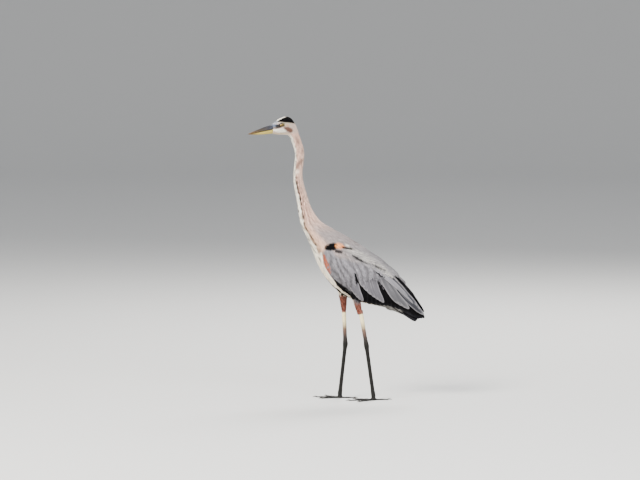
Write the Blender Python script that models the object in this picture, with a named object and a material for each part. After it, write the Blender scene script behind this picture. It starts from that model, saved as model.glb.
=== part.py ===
"""Great blue heron standing with its neck raised, a life-size still model.

The bird faces -Y with +Z up and its left side towards +X. The origin lies on the floor under
the middle of its length. Side-view points are (y, z) pairs in millimetres; x is the distance
from the bird's mid-plane. All the solids are closed and meet with a small gap.
"""

import math
from collections import namedtuple

import bmesh
import bpy
from mathutils import Matrix, Vector

MM = 0.001
GAP = 0.35  # mm left between neighbouring solids

# Driving sizes, in millimetres and degrees.
CROWN_HEIGHT = 1135.0
BILL_TIP = (-390.0, 1067.5)
FOREHEAD_EDGE = (-280.5, 1103.5)
HEAD_YAW = 33.0  # the head looks this far to the bird's left
HEAD_AXIS_Y = -165.0  # the head turns about the upright line through the top of the neck
TURN_FROM_Z, TURN_TO_Z = 985.0, 1052.0
EYE_DIAMETER = 15.0
EYE_CENTRE = (14.7, -242.5, 1102.0)
ANKLE_HEIGHT = 218.0
TIP_OF_WINGS = (350.0, 337.0)
SIDES = 24  # points round the body's sections
LEG_SIDES = 12

# One section of the body. under and over are its lowest or foremost point and its highest or
# hindmost point in side view, half_width is half its breadth, and high moves the widest place
# towards over.
Station = namedtuple("Station", "name under over half_width high")

BODY = [
    Station("bill base", (-280.5, 1068), FOREHEAD_EDGE, 10.5, 0.00),
    Station("lores", (-268, 1065), (-267, 1113), 14.5, 0.04),
    Station("eye", (-250, 1063), (-247, 1124.5), 19.2, 0.10),
    Station("crown", (-231, 1062), (-223, 1134), 21.8, 0.08),
    Station("hind crown", (-215, 1061.5), (-201, CROWN_HEIGHT), 21.5, 0.04),
    Station("nape", (-203, 1060), (-183, 1124), 20.5, 0.00),
    Station("nape base", (-195, 1055), (-167, 1100), 19.6, 0.00),
    Station("neck top", (-188, 1046), (-154, 1070), 18.6, 0.00),
    Station("upper neck", (-172, 1004), (-133, 1011), 17.2, 0.00),
    Station("hollow", (-168, 972), (-130, 973), 16.6, 0.00),
    Station("kink", (-175, 908), (-138, 906), 17.0, 0.00),
    Station("under kink", (-173, 860), (-132, 864), 19.0, 0.00),
    Station("lower neck", (-164, 812), (-120, 822), 22.5, 0.00),
    Station("neck base", (-157, 760), (-100, 768), 32.0, -0.05),
    Station("throat of breast", (-147, 706), (-66, 717), 46.0, -0.05),
    Station("shoulders", (-128, 664), (-12, 684), 60.0, 0.00),
    Station("breast", (-103, 608), (46, 652), 70.0, 0.02),
    Station("deep breast", (-77, 541), (98, 620), 75.0, 0.05),
    Station("keel", (-40, 480), (146, 588), 76.0, 0.08),
    Station("belly", (6, 432), (190, 557), 73.0, 0.08),
    Station("flanks", (62, 401), (221, 516), 64.0, 0.06),
    Station("vent", (130, 382), (240, 474), 50.0, 0.04),
    Station("rump", (188, 370), (252, 434), 35.0, 0.00),
    Station("tail root", (222, 360), (262, 405), 25.0, 0.00),
]

# A folded wing's sections from the wrist to the tip: lowest and highest edge in side view, how
# far out it bulges from the mid-plane, and where its flat inner side lies.
WingStation = namedtuple("WingStation", "name low high out inner")

WING = [
    WingStation("wrist", (-53, 556), (-50, 596), 66.0, 55.0),
    WingStation("bend", (-42, 522), (-34, 628), 79.0, 52.0),
    WingStation("forearm", (-4, 470), (12, 629), 88.0, 50.0),
    WingStation("lesser coverts", (36, 434), (62, 604), 91.0, 47.0),
    WingStation("median coverts", (72, 405), (112, 580), 90.0, 44.0),
    WingStation("elbow", (112, 389), (164, 561), 86.0, 36.0),
    WingStation("greater coverts", (166, 379), (213, 536), 76.0, 24.0),
    WingStation("tertials", (214, 376), (253, 497), 62.0, 8.0),
    WingStation("long tertials", (256, 362), (284, 455), 47.0, 0.4),
    WingStation("primaries", (290, 347), (309, 420), 33.0, 0.4),
    WingStation("outer primaries", (321, 333), (333, 389), 20.0, 0.4),
    WingStation("tip", (347, 325), (351, 353), 8.0, 0.4),
]
FLIGHT_FEATHERS_FROM = 6.4  # the wing's station number where the quills leave the coverts

TAIL = [
    Station("root", (196, 363), (228, 424), 30.0, 0.0),
    Station("coverts", (236, 348), (256, 400), 30.0, 0.0),
    Station("middle", (278, 329), (292, 366), 31.0, 0.0),
    Station("end", (308, 316), (318, 341), 27.0, 0.0),
    Station("tip", (320, 313), (326, 327), 14.0, 0.0),
]

UPPER_BILL = [
    Station("base", (-281, 1085.5), (-281, 1103), 10.0, 0.0),
    Station("nostril", (-303, 1082), (-303, 1098), 8.4, -0.1),
    Station("middle", (-331, 1077), (-331, 1089.5), 6.0, -0.1),
    Station("fore", (-361, 1072), (-361, 1079.5), 3.4, -0.1),
    Station("tip", BILL_TIP, (-390, 1068.8), 0.7, 0.0),
]
LOWER_BILL = [
    Station("base", (-281, 1068), (-281, 1085.1), 9.6, 0.1),
    Station("angle", (-303, 1066.5), (-303, 1081.6), 7.9, 0.1),
    Station("middle", (-331, 1065.5), (-331, 1076.6), 5.6, 0.1),
    Station("gonys", (-360, 1065.5), (-360, 1071.8), 3.1, 0.1),
    Station("tip", (-386, 1066.7), (-386, 1067.9), 0.6, 0.0),
]

# The legs. Each joint is (x, y, z), and the feet turn outwards by their yaw.
Leg = namedtuple("Leg", "side hip knee ankle foot yaw")
LEFT_LEG = Leg(1, (34, 62, 470), (36, 92, 344), (37, 118, ANKLE_HEIGHT), (39, 146, 16), 12.0)
RIGHT_LEG = Leg(-1, (-34, 22, 470), (-36, 28, 352), (-37, 34, ANKLE_HEIGHT), (-39, 12, 16), 14.0)

# Radii along each leg, front to back and side to side, with the share of the way down.
THIGH_RADII = [(0.0, 28, 24), (0.35, 21, 19), (0.6, 16, 15), (0.85, 12.5, 12), (1.0, 10.6, 10)]
SHANK_RADII = [(0.0, 8.4, 7.3), (0.5, 7.8, 6.7), (0.82, 8.1, 6.9), (0.94, 9.9, 8.2), (1.0, 10.3, 8.4)]
TARSUS_RADII = [(0.0, 10.1, 8.2), (0.05, 9.3, 7.6), (0.12, 7.9, 6.6), (0.5, 7.4, 6.1),
                (0.88, 7.9, 6.6), (1.0, 9.6, 8.5)]

# The toes: angle from straight ahead, positive outwards, then length, breadth and height at the
# root, and the claw's length.
Toe = namedtuple("Toe", "name angle length breadth height claw")
TOES = [
    Toe("inner", -33.0, 66.0, 7.4, 7.0, 12.0),
    Toe("middle", 2.0, 88.0, 7.6, 7.4, 14.0),
    Toe("outer", 36.0, 74.0, 7.2, 7.0, 12.0),
    Toe("hind", 176.0, 48.0, 7.0, 7.0, 15.0),
]
PALM_RADIUS = 12.5
PALM_HEIGHT = 16.0

# Principled colours: linear red, green and blue, then roughness.
FINISHES = {
    "grey_plumage": (0.36, 0.36, 0.38, 0.85),
    "lilac_plumage": (0.58, 0.47, 0.43, 0.85),
    "pale_plumage": (0.66, 0.60, 0.57, 0.85),
    "dark_plumage": (0.05, 0.05, 0.06, 0.8),
    "rufous_plumage": (0.42, 0.16, 0.09, 0.85),
    "upper_bill": (0.10, 0.08, 0.07, 0.45),
    "lower_bill": (0.55, 0.40, 0.12, 0.45),
    "eye": (0.75, 0.55, 0.05, 0.1),
    "pale_leg": (0.62, 0.50, 0.38, 0.6),
    "dark_leg": (0.05, 0.045, 0.035, 0.6),
    "claw": (0.03, 0.025, 0.02, 0.4),
}


def clear_scene():
    for obj in list(bpy.data.objects):
        bpy.data.objects.remove(obj)


def finish_named(name):
    """The material of that name, made once."""
    material = bpy.data.materials.get(name)
    if material is None:
        red, green, blue, roughness = FINISHES[name]
        material = bpy.data.materials.new(name)
        material.use_nodes = True
        shader = material.node_tree.nodes["Principled BSDF"]
        shader.inputs["Base Color"].default_value = (red, green, blue, 1.0)
        shader.inputs["Roughness"].default_value = roughness
        shader.inputs["Metallic"].default_value = 0.0
    return material


def add_node(name, mesh_tool, finish):
    """Makes one solid from a bmesh given in millimetres."""
    bmesh.ops.recalc_face_normals(mesh_tool, faces=mesh_tool.faces)
    bmesh.ops.scale(mesh_tool, vec=(MM, MM, MM), verts=mesh_tool.verts)
    mesh = bpy.data.meshes.new(name)
    mesh_tool.to_mesh(mesh)
    mesh_tool.free()
    mesh.materials.append(finish_named(finish))
    mesh.shade_smooth()
    mesh.set_sharp_from_angle(angle=math.radians(50))
    obj = bpy.data.objects.new(name, mesh)
    bpy.context.scene.collection.objects.link(obj)
    return obj


def make_cutter(obj):
    obj.hide_render = True
    obj.display_type = "WIRE"
    return obj


def cut(obj, *cutters):
    """Takes the cutters' space out of obj."""
    for cutter in cutters:
        boolean = obj.modifiers.new("cut_by_" + cutter.name, "BOOLEAN")
        boolean.operation = "DIFFERENCE"
        boolean.solver = "EXACT"
        boolean.object = cutter


def loft(rings):
    """A closed bmesh through rings of points, with a flat cap on each end."""
    tool = bmesh.new()
    rows = [[tool.verts.new(point) for point in ring] for ring in rings]
    count = len(rows[0])
    for row, following in zip(rows, rows[1:]):
        for i in range(count):
            j = (i + 1) % count
            tool.faces.new((row[i], row[j], following[j], following[i]))
    tool.faces.new(rows[0])
    tool.faces.new(rows[-1])
    return tool


def hermite(values, places, at):
    """A smooth curve through the values at those places, read at one of them or between."""
    last = len(places) - 2
    k = max(i for i in range(last + 1) if i == 0 or places[i] <= at)
    step = places[k + 1] - places[k]
    t = (at - places[k]) / step

    def slope(i):
        before, after = max(i - 1, 0), min(i + 1, last + 1)
        return (values[after] - values[before]) / (places[after] - places[before])

    first = values[k] * (2 * t**3 - 3 * t**2 + 1) + values[k + 1] * (3 * t**2 - 2 * t**3)
    return first + step * (slope(k) * (t**3 - 2 * t**2 + t) + slope(k + 1) * (t**3 - t**2))


def numbers_of(station):
    """A station's numbers as one flat list."""
    flat = []
    for value in station[1:]:
        flat += list(value) if isinstance(value, tuple) else [value]
    return flat


class Run:
    """A row of stations read as smooth curves. Place 0 is the first station and 1 the next."""

    def __init__(self, stations):
        self.kind = type(stations[0])
        self.columns = list(zip(*(numbers_of(s) for s in stations)))
        self.places = list(range(len(stations)))
        self.spans = [0.0]
        for a, b in zip(stations, stations[1:]):
            step = (self.centre(a) - self.centre(b)).length
            self.spans.append(self.spans[-1] + step)

    @staticmethod
    def centre(station):
        return (Vector(station[1]) + Vector(station[2])) / 2

    def at(self, place):
        """The station at a place that may lie between two."""
        k = min(int(place), len(self.spans) - 2)
        along = self.spans[k] + (place - k) * (self.spans[k + 1] - self.spans[k])
        under_y, under_z, over_y, over_z, *rest = (
            hermite(column, self.spans, along) for column in self.columns
        )
        return self.kind("between", (under_y, under_z), (over_y, over_z), *rest)

    def shifted(self, place, distance):
        """The place that lies this many millimetres further along."""
        k = min(int(place), len(self.spans) - 2)
        return place + distance / (self.spans[k + 1] - self.spans[k])


def turned(point):
    """A body point after the head's turn, which fades out down the upper neck."""
    x, y, z = point
    share = min(1.0, max(0.0, (z - TURN_FROM_Z) / (TURN_TO_Z - TURN_FROM_Z)))
    angle = math.radians(HEAD_YAW) * share * share * (3 - 2 * share)
    if y > HEAD_AXIS_Y + 60:
        return Vector(point)
    turn = Matrix.Rotation(angle, 3, "Z")
    axis = Vector((0.0, HEAD_AXIS_Y, 0.0))
    return turn @ (Vector(point) - axis) + axis


def body_ring(station, grow=0.0, sides=SIDES):
    """An egg-shaped ring across the body, larger all round by grow."""
    under, over = Vector(station.under), Vector(station.over)
    centre, up = (under + over) / 2, (over - under) / 2
    up *= (up.length + grow) / up.length
    ring = []
    for i in range(sides):
        angle = 2 * math.pi * i / sides
        rise = math.cos(angle)
        breadth = (station.half_width + grow) * math.sin(angle) * (1 + station.high * rise)
        y, z = centre + up * rise
        ring.append((breadth, y, z))
    return ring


def wing_ring(station, side, grow=0.0, arc_points=13):
    """A section of a folded wing: flat inside, bulging outside."""
    low, high = Vector(station.low), Vector(station.high)
    centre, up = (low + high) / 2, (high - low) / 2
    up *= (up.length + grow) / up.length
    inner = max(station.inner, GAP) - 2 * grow
    ring = []
    for i in range(arc_points):
        angle = math.pi * i / (arc_points - 1)
        bulge = math.sin(angle) ** 0.75
        y, z = centre + up * math.cos(angle)
        ring.append((side * (inner + (station.out + grow - inner) * bulge), y, z))
    return ring


def places_between(first, last, per_station):
    count = max(1, round((last - first) * per_station))
    return [first + (last - first) * i / count for i in range(count + 1)]


def body_part(name, first, last, finish, per_station=2.0):
    """One length of the body between two stations, given by number."""
    run = Run(BODY)
    start = run.shifted(first, GAP / 2) if first else first
    end = run.shifted(last, -GAP / 2) if last < len(BODY) - 1 else last
    rings = []
    for place in places_between(start, end, per_station):
        rings.append([turned(point) for point in body_ring(run.at(place))])
    return add_node(name, loft(rings), finish)


def body_cutter():
    """The trunk a little larger all round, for what lies on it."""
    run = Run(BODY)
    first, last = station_number("neck base"), len(BODY) - 1
    rings = []
    for place in places_between(first, last, 2.0):
        rings.append(body_ring(run.at(place), grow=GAP + 0.1))
    onward = (Vector(rings[-1][0]) - Vector(rings[-2][0])).normalized() * 2 * GAP
    rings.append([Vector(point) + onward for point in rings[-1]])
    return make_cutter(add_node("trunk_cutter", loft(rings), "grey_plumage"))


def station_number(name):
    return [station.name for station in BODY].index(name)


def wing_part(name, side, first, last, finish, grow=0.0):
    run = Run(WING)
    start = run.shifted(first, GAP / 2) if first and not grow else first
    end = run.shifted(last, -GAP / 2) if last < len(WING) - 1 and not grow else last
    rings = [wing_ring(run.at(p), side, grow) for p in places_between(start, end, 1.6)]
    return add_node(name, loft(rings), finish)


def build_head():
    head = body_part("head", 0, station_number("neck top"), "pale_plumage")
    for side, word in ((1, "left"), (-1, "right")):
        x, y, z = EYE_CENTRE
        centre = turned((side * x, y, z))
        for name, radius, finish in (
            ("eye_" + word, EYE_DIAMETER / 2, "eye"),
            (f"socket_{word}_cutter", EYE_DIAMETER / 2 + GAP, "eye"),
        ):
            ball = bmesh.new()
            bmesh.ops.create_uvsphere(ball, u_segments=16, v_segments=10, radius=radius)
            bmesh.ops.translate(ball, vec=centre, verts=ball.verts)
            made = add_node(name, ball, finish)
            if name.endswith("cutter"):
                cut(head, make_cutter(made))


def build_bill():
    for name, stations in (("upper_bill", UPPER_BILL), ("lower_bill", LOWER_BILL)):
        run = Run(stations)
        rings = []
        for place in places_between(0, len(stations) - 1, 2.0):
            rings.append([turned(p) for p in body_ring(run.at(place), sides=12)])
        add_node(name, loft(rings), name)


def build_neck_and_trunk():
    names = ("neck top", "kink", "lower neck", "neck base")
    top, kink, lower, base = (station_number(name) for name in names)
    body_part("neck_upper", top, kink, "lilac_plumage")
    body_part("neck_middle", kink, lower, "lilac_plumage")
    body_part("neck_lower", lower, base, "lilac_plumage")
    body_part("trunk", base, len(BODY) - 1, "grey_plumage")


def build_wings(trunk_cutter):
    """Both wings in two lengths, and larger copies of them that cut the legs and the tail."""
    cutters = []
    lengths = (
        ("wing_", 0, FLIGHT_FEATHERS_FROM, "grey_plumage"),
        ("flight_feathers_", FLIGHT_FEATHERS_FROM, len(WING) - 1, "dark_plumage"),
    )
    for side, word in ((1, "left"), (-1, "right")):
        for name, first, last, finish in lengths:
            cut(wing_part(name + word, side, first, last, finish), trunk_cutter)
            cutter = wing_part(f"{name}{word}_cutter", side, first, last, finish, 2 * GAP)
            cutters.append(make_cutter(cutter))
    return cutters


def build_tail(cutters):
    run = Run(TAIL)
    rings = [body_ring(run.at(p), sides=16) for p in places_between(0, len(TAIL) - 1, 2.0)]
    tail = add_node("tail", loft(rings), "grey_plumage")
    cut(tail, *cutters)


def limb_rings(leg, length, radii):
    """Oval rings down one length of a leg: 0 is the thigh, 1 the shank and 2 the tarsus.

    Each end lies across the bend of its joint, so the next length meets it squarely.
    """
    joints = [Vector(joint) for joint in leg[1:5]]
    ways = [(b - a).normalized() for a, b in zip(joints, joints[1:])]
    ways = [ways[0], ways[0] + ways[1], ways[1] + ways[2], Vector((0, 0, -1))]
    start, end = joints[length], joints[length + 1]
    rings = []
    for share, depth, breadth in radii:
        way = ways[length].normalized().lerp(ways[length + 1].normalized(), share).normalized()
        centre = start.lerp(end, share)
        centre += way * GAP * ((0.5 if length else 0.0) * (1 - share) - 0.5 * share)
        across = way.cross(Vector((0, 1, 0))).normalized()
        fore = across.cross(way).normalized()
        turns = [2 * math.pi * i / LEG_SIDES for i in range(LEG_SIDES)]
        rings.append([
            centre + fore * depth * math.cos(a) + across * breadth * math.sin(a) for a in turns
        ])
    return rings


def flat_soled_ring(centre, along, breadth, height):
    """A toe's section: flat underneath, where it rests on the floor, and round above."""
    across = Vector((along.y, -along.x, 0)).normalized()
    outline = ((-0.6, 0), (0.6, 0), (1, 0.3), (0.92, 0.68), (0.5, 1), (-0.5, 1),
               (-0.92, 0.68), (-1, 0.3))
    return [centre + across * (s * breadth / 2) + Vector((0, 0, h * height)) for s, h in outline]


def build_toe(word, palm, forward, toe):
    """A toe of tapering phalanges with a curved claw."""
    along = Matrix.Rotation(math.radians(toe.angle), 3, "Z") @ forward
    root = palm + along * (PALM_RADIUS + GAP)
    knuckles = 4
    rings = []
    for i in range(2 * knuckles + 1):
        share = i / (2 * knuckles)
        swell = 1.0 if i % 2 == 0 else 0.86
        size = (1 - 0.38 * share) * swell
        ring_at = root + along * (toe.length * share)
        rings.append(flat_soled_ring(ring_at, along, toe.breadth * size, toe.height * size))
    add_node(f"toe_{word}_{toe.name}", loft(rings), "dark_leg")
    claw_root = root + along * (toe.length + GAP)
    rings = []
    for i in range(6):
        share = i / 5
        size = 1 - 0.86 * share**1.2
        rise = 1.3 * math.sin(math.pi * share) * (1 - share)
        ring_at = claw_root + along * (toe.claw * share) + Vector((0, 0, rise))
        rings.append(flat_soled_ring(ring_at, along, 3.6 * size, 4.0 * size))
    add_node(f"claw_{word}_{toe.name}", loft(rings), "claw")


def build_leg(leg, word, cutters):
    thigh = add_node("thigh_" + word, loft(limb_rings(leg, 0, THIGH_RADII)), "rufous_plumage")
    cut(thigh, *cutters)
    add_node("shank_" + word, loft(limb_rings(leg, 1, SHANK_RADII)), "pale_leg")
    add_node("tarsus_" + word, loft(limb_rings(leg, 2, TARSUS_RADII)), "dark_leg")
    palm = Vector((leg.foot[0], leg.foot[1], 0))
    rings = []
    for share, radius in ((0.0, 0.9), (0.12, 1.0), (0.45, 0.97), (0.8, 0.72), (1.0, 0.5)):
        height = share * (PALM_HEIGHT - 0.8)
        rings.append([
            palm
            + Vector((math.cos(a), math.sin(a), 0)) * PALM_RADIUS * radius
            + Vector((0, 0, height))
            for a in (2 * math.pi * i / 16 for i in range(16))
        ])
    add_node("foot_" + word, loft(rings), "dark_leg")
    forward = Matrix.Rotation(math.radians(leg.side * leg.yaw), 3, "Z") @ Vector((0, -1, 0))
    for toe in TOES:
        build_toe(word, palm, forward, toe._replace(angle=leg.side * toe.angle))


def main():
    clear_scene()
    build_head()
    build_bill()
    build_neck_and_trunk()
    trunk_cutter = body_cutter()
    wing_cutters = build_wings(trunk_cutter)
    build_tail([trunk_cutter, *wing_cutters])
    build_leg(LEFT_LEG, "left", [trunk_cutter, *wing_cutters])
    build_leg(RIGHT_LEG, "right", [trunk_cutter, *wing_cutters])


main()
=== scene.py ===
"""Looks of a life-size great blue heron: one skin, its feathers, bill, eyes, legs and claws.

The bird faces -Y with +Z up and its left side towards +X, in metres. Places in side view are
(y, z) pairs with the head facing straight ahead; turned() carries them to where the head looks.
"""

import math
from collections import namedtuple
from functools import cache, wraps

import bmesh
import bpy
import numpy as np
from bpy.props import FloatProperty, FloatVectorProperty, IntProperty, PointerProperty
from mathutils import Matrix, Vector
from mathutils.bvhtree import BVHTree


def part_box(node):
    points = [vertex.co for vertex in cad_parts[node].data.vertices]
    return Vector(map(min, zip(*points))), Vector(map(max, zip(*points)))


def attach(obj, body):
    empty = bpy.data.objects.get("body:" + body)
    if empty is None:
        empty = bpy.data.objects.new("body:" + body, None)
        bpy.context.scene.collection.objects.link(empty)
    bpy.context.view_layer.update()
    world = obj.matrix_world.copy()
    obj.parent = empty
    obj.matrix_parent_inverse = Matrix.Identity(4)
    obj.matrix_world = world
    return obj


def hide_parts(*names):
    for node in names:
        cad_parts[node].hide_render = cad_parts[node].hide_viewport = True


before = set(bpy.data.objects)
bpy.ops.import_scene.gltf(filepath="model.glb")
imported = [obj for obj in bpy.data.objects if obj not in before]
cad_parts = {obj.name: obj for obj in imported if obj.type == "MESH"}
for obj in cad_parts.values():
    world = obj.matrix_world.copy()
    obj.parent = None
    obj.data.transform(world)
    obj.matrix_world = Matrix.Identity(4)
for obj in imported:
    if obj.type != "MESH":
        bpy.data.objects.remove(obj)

bl_info = {
    "name": "Great Blue Heron",
    "version": (1, 0, 0),
    "blender": (4, 5, 0),
    "location": "View3D > Sidebar > Heron",
    "description": "Dresses a life-size great blue heron in skin, feathers, bill, eyes and claws",
    "category": "Object",
}

MM = 0.001
BODY_VOXEL, LEG_VOXEL = 3.0 * MM, 1.25 * MM  # how fine the surfaces of body and legs are
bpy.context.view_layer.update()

SIDES = (("left", 1), ("right", -1))
TOES = ("inner", "middle", "outer", "hind")

# The head's turn about the upright line through the top of the neck. It fades down the neck.
HEAD_YAW = math.radians(33.0)
HEAD_AXIS_Y = -0.165
TURN_FROM_Z, TURN_TO_Z = 0.985, 1.052

# The middle of the bird from forehead to tail, in millimetres.
SPINE = np.array([
    (-275, 1089), (-235, 1097), (-203, 1090), (-180, 1062), (-160, 1027), (-149, 985),
    (-152, 945), (-157, 907), (-153, 862), (-140, 817), (-127, 764), (-106, 712), (-70, 674),
    (-28, 630), (11, 580), (53, 534), (96, 492), (139, 455), (183, 428), (220, 404),
    (262, 383), (300, 358), (345, 334),
]) * MM


# --- Arithmetic on many points at once ------------------------------------------------------


def smooth(low, high, value):
    """An eased step from 0 at low to 1 at high. It falls where low is the greater."""
    t = np.clip((value - low) / (high - low), 0.0, 1.0)
    return t * t * (3 - 2 * t)


def turn_at(heights):
    """The part of the head's turn that the bird has made at each height."""
    return HEAD_YAW * smooth(TURN_FROM_Z, TURN_TO_Z, np.asarray(heights, float))


def rotated(points, angles):
    """Points turned about the head's upright axis."""
    out = np.array(points, float).reshape(-1, 3)
    x, y = out[:, 0].copy(), out[:, 1] - HEAD_AXIS_Y
    out[:, 0] = x * np.cos(angles) - y * np.sin(angles)
    out[:, 1] = x * np.sin(angles) + y * np.cos(angles) + HEAD_AXIS_Y
    return out


def turned(points):
    """Places on the straight bird, carried to where the head looks."""
    points = np.asarray(points, float).reshape(-1, 3)
    return rotated(points, turn_at(points[:, 2]))


def unturned(points):
    """Places in the world, carried back to the straight bird."""
    points = np.asarray(points, float).reshape(-1, 3)
    return rotated(points, -turn_at(points[:, 2]))


def along_spine(points):
    """For unturned points: share along the spine, its direction there, and height over it."""
    flat = points[:, 1:]
    steps = np.diff(SPINE, axis=0)
    lengths = np.linalg.norm(steps, axis=1)
    ways = steps / lengths[:, None]
    knots = np.vstack([ways[:1], ways[:-1] + ways[1:], ways[-1:]])
    knots /= np.linalg.norm(knots, axis=1)[:, None]
    from_start = flat[:, None, :] - SPINE[None, :-1, :]
    t = np.clip((from_start * steps).sum(2) / lengths**2, 0.0, 1.0)
    gaps = np.linalg.norm(from_start - t[..., None] * steps, axis=2)
    k = gaps.argmin(1)
    rows = np.arange(len(flat))
    t = t[rows, k]
    starts = np.concatenate([[0.0], np.cumsum(lengths)])
    place = (starts[k] + t * lengths[k]) / starts[-1]
    way = knots[k] * (1 - t[:, None]) + knots[k + 1] * t[:, None]
    way /= np.linalg.norm(way, axis=1)[:, None]
    nearest = SPINE[k] + t[:, None] * steps[k]
    offset = flat - nearest
    height = -offset[:, 0] * way[:, 1] + offset[:, 1] * way[:, 0]
    return place, way, height


def stroke(y, z, path, widths, soft):
    """A mask that is 1 along a painted line. Path and widths are in millimetres."""
    path = np.array(path, float) * MM
    widths = np.broadcast_to(np.array(widths, float) * MM, (len(path),))
    points = np.stack([y, z], 1)
    mask = np.zeros(len(points))
    for a, b, wide_a, wide_b in zip(path, path[1:], widths, widths[1:]):
        t = np.clip(((points - a) @ (b - a)) / ((b - a) @ (b - a)), 0.0, 1.0)
        gap = np.linalg.norm(points - (a + t[:, None] * (b - a)), axis=1)
        width = wide_a + (wide_b - wide_a) * t
        mask = np.maximum(mask, 1 - smooth(-soft * MM, soft * MM, gap - width))
    return mask


def ragged(y, z):
    """An uneven pattern of patches about 8 mm across, from -1 to 1."""
    return np.sin(y * 530 + 1.3 * np.sin(z * 410)) * np.sin(z * 470 + 1.7 * np.sin(y * 290 + 2))


def band(value, middle, half, soft):
    """A mask that is 1 within half of the middle value, with soft edges."""
    return 1 - smooth(half - soft, half + soft, np.abs(value - middle))


def circle(sides):
    """Angles spread evenly round a circle."""
    return [2 * math.pi * i / sides for i in range(sides)]


# --- Markings: the same paint for the skin and for the feathers ------------------------------

# A painted mark: its colour, its path and half widths in side view in millimetres, how soft its
# edges are, and how strong it is.
Mark = namedtuple("Mark", "colour path widths soft strength", defaults=(1.0,))

# The black and the worn orange at the shoulder, then the dark lines between the scapulars.
SHOULDER = Mark("black", [(-39, 614), (-25, 617), (-8, 619)], [11, 14.5, 15], 3)
SCAPULAR_MARKS = (
    Mark("mantle", [(-2, 608), (12, 607)], [2.5, 2.5], 3, 0.6),
    Mark("white", [(36, 624), (48, 620)], [3, 2.5], 3, 0.5),
    Mark("black", [(-2, 601), (16, 598)], [5.5, 6], 3, 0.9),
    Mark("black", [(24, 615), (58, 608)], [3.5, 3], 3),
    Mark("black", [(62, 583), (78, 573), (98, 561)], [3, 5.5, 4], 3, 0.9),
    Mark("black", [(96, 560), (132, 548), (160, 537), (192, 522)], [2.5, 3, 5, 2], 3, 0.8),
)
# Black that shows between the grey feathers of the folded wing.
GAP_MARKS = (
    Mark("black", [(70, 512), (76, 490), (88, 456), (106, 414)], [3, 5, 10, 13], 3),
    Mark("black", [(118, 428), (138, 408), (166, 390)], [14, 14, 7], 4),
    Mark("black", [(156, 518), (173, 508), (194, 486)], [3.5, 5.5, 4], 3),
    Mark("black", [(163, 480), (172, 456), (190, 424), (210, 394), (246, 378)],
         [5, 8, 9, 9, 6], 4),
)
# The face under the crown's stripes, then round the eye, over them.
FACE_MARKS = (
    Mark("chin", [(-282, 1066), (-240, 1065), (-205, 1064)], [5, 6, 5], 2.5),
    Mark("white", [(-276, 1083), (-250, 1079), (-226, 1081)], [3, 8, 8], 2.5),
    Mark("malar", [(-229, 1090), (-215, 1086), (-199, 1079)], [4.5, 9, 9], 4.5),
    Mark("forehead", [(-284, 1106), (-262, 1118), (-240, 1132)], [8, 10, 10], 3),
    Mark("lores", [(-276, 1109), (-258, 1118)], [2.5, 4], 3, 0.7),
    Mark("brow", [(-250, 1114), (-230, 1112), (-200, 1110)], [3, 4, 3.5], 2.5),
)
EYE_MARKS = (
    Mark("lores", [(-281, 1099), (-262, 1100)], [7, 6], 2.5),
    Mark("black", [(-281, 1090), (-262, 1091), (-246, 1094)], [2, 3, 3], 1.5, 0.85),
    Mark("black", [(-263, 1098), (-254, 1100), (-236, 1103)], [5, 6.5, 7], 3, 0.97),
    Mark("olive", [(-236, 1103), (-228, 1103)], [8, 6.5], 3.5, 0.85),
    Mark("brow", [(-224, 1103), (-208, 1103)], [5.5, 5], 3),
    Mark("buff", [(-221, 1101), (-213, 1100)], [4.5, 4], 3, 0.45),
)
# Dusky blotches on the neck: height, share of the way round, half height and half width in the
# same measures, and strength.
NECK_BLOTCHES = (
    (1.036, 0.50, 0.022, 0.15, 0.6), (0.992, 0.72, 0.014, 0.16, 0.45),
    (0.953, 0.62, 0.012, 0.22, 0.8), (0.938, 0.40, 0.016, 0.15, 0.8),
)
# A painted highlight on the neck, in the same measures as the blotches.
NECK_HIGHLIGHT = (0.914, 0.45, 0.010, 0.16, 0.5)


def tint(name):
    """A colour from the plumage panel."""
    return np.array(getattr(bpy.context.scene.heron_plumage, name)[:3])


def marked(points):
    """The plumage's linear colour at each of these world points."""
    p = unturned(points)
    x, y, z = np.abs(p[:, 0]), p[:, 1], p[:, 2]
    _, _, height = along_spine(p)
    girth = np.arctan2(x, -height) / math.pi  # 0 in front or underneath, 1 behind or on top
    colour = np.tile(tint("neck"), (len(p), 1))

    def lay(name, mask):
        nonlocal colour
        colour = colour + (tint(name) - colour) * np.clip(mask, 0, 1)[:, None]

    body = smooth(0.745, 0.665, z)
    lay("nape", smooth(0.60, 0.85, girth) * smooth(1.06, 0.98, z) * 0.8)
    paint_neck(lay, z, girth)
    lay("mantle", body * smooth(0.34, 0.52, girth))
    lay("scapular", smooth(0.66, 0.58, z) * smooth(0.55, 0.7, girth))
    lay("breast", smooth(0.80, 0.70, z) * smooth(0.46, 0.24, girth) * smooth(0.12, 0.0, y))
    paint_front(lay, p[:, 0], y, z, girth)
    paint_belly(lay, p[:, 0], x, y, z, girth)
    paint_wing(lay, x, y, z)
    paint_head(lay, x, y, z)
    return colour


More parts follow.
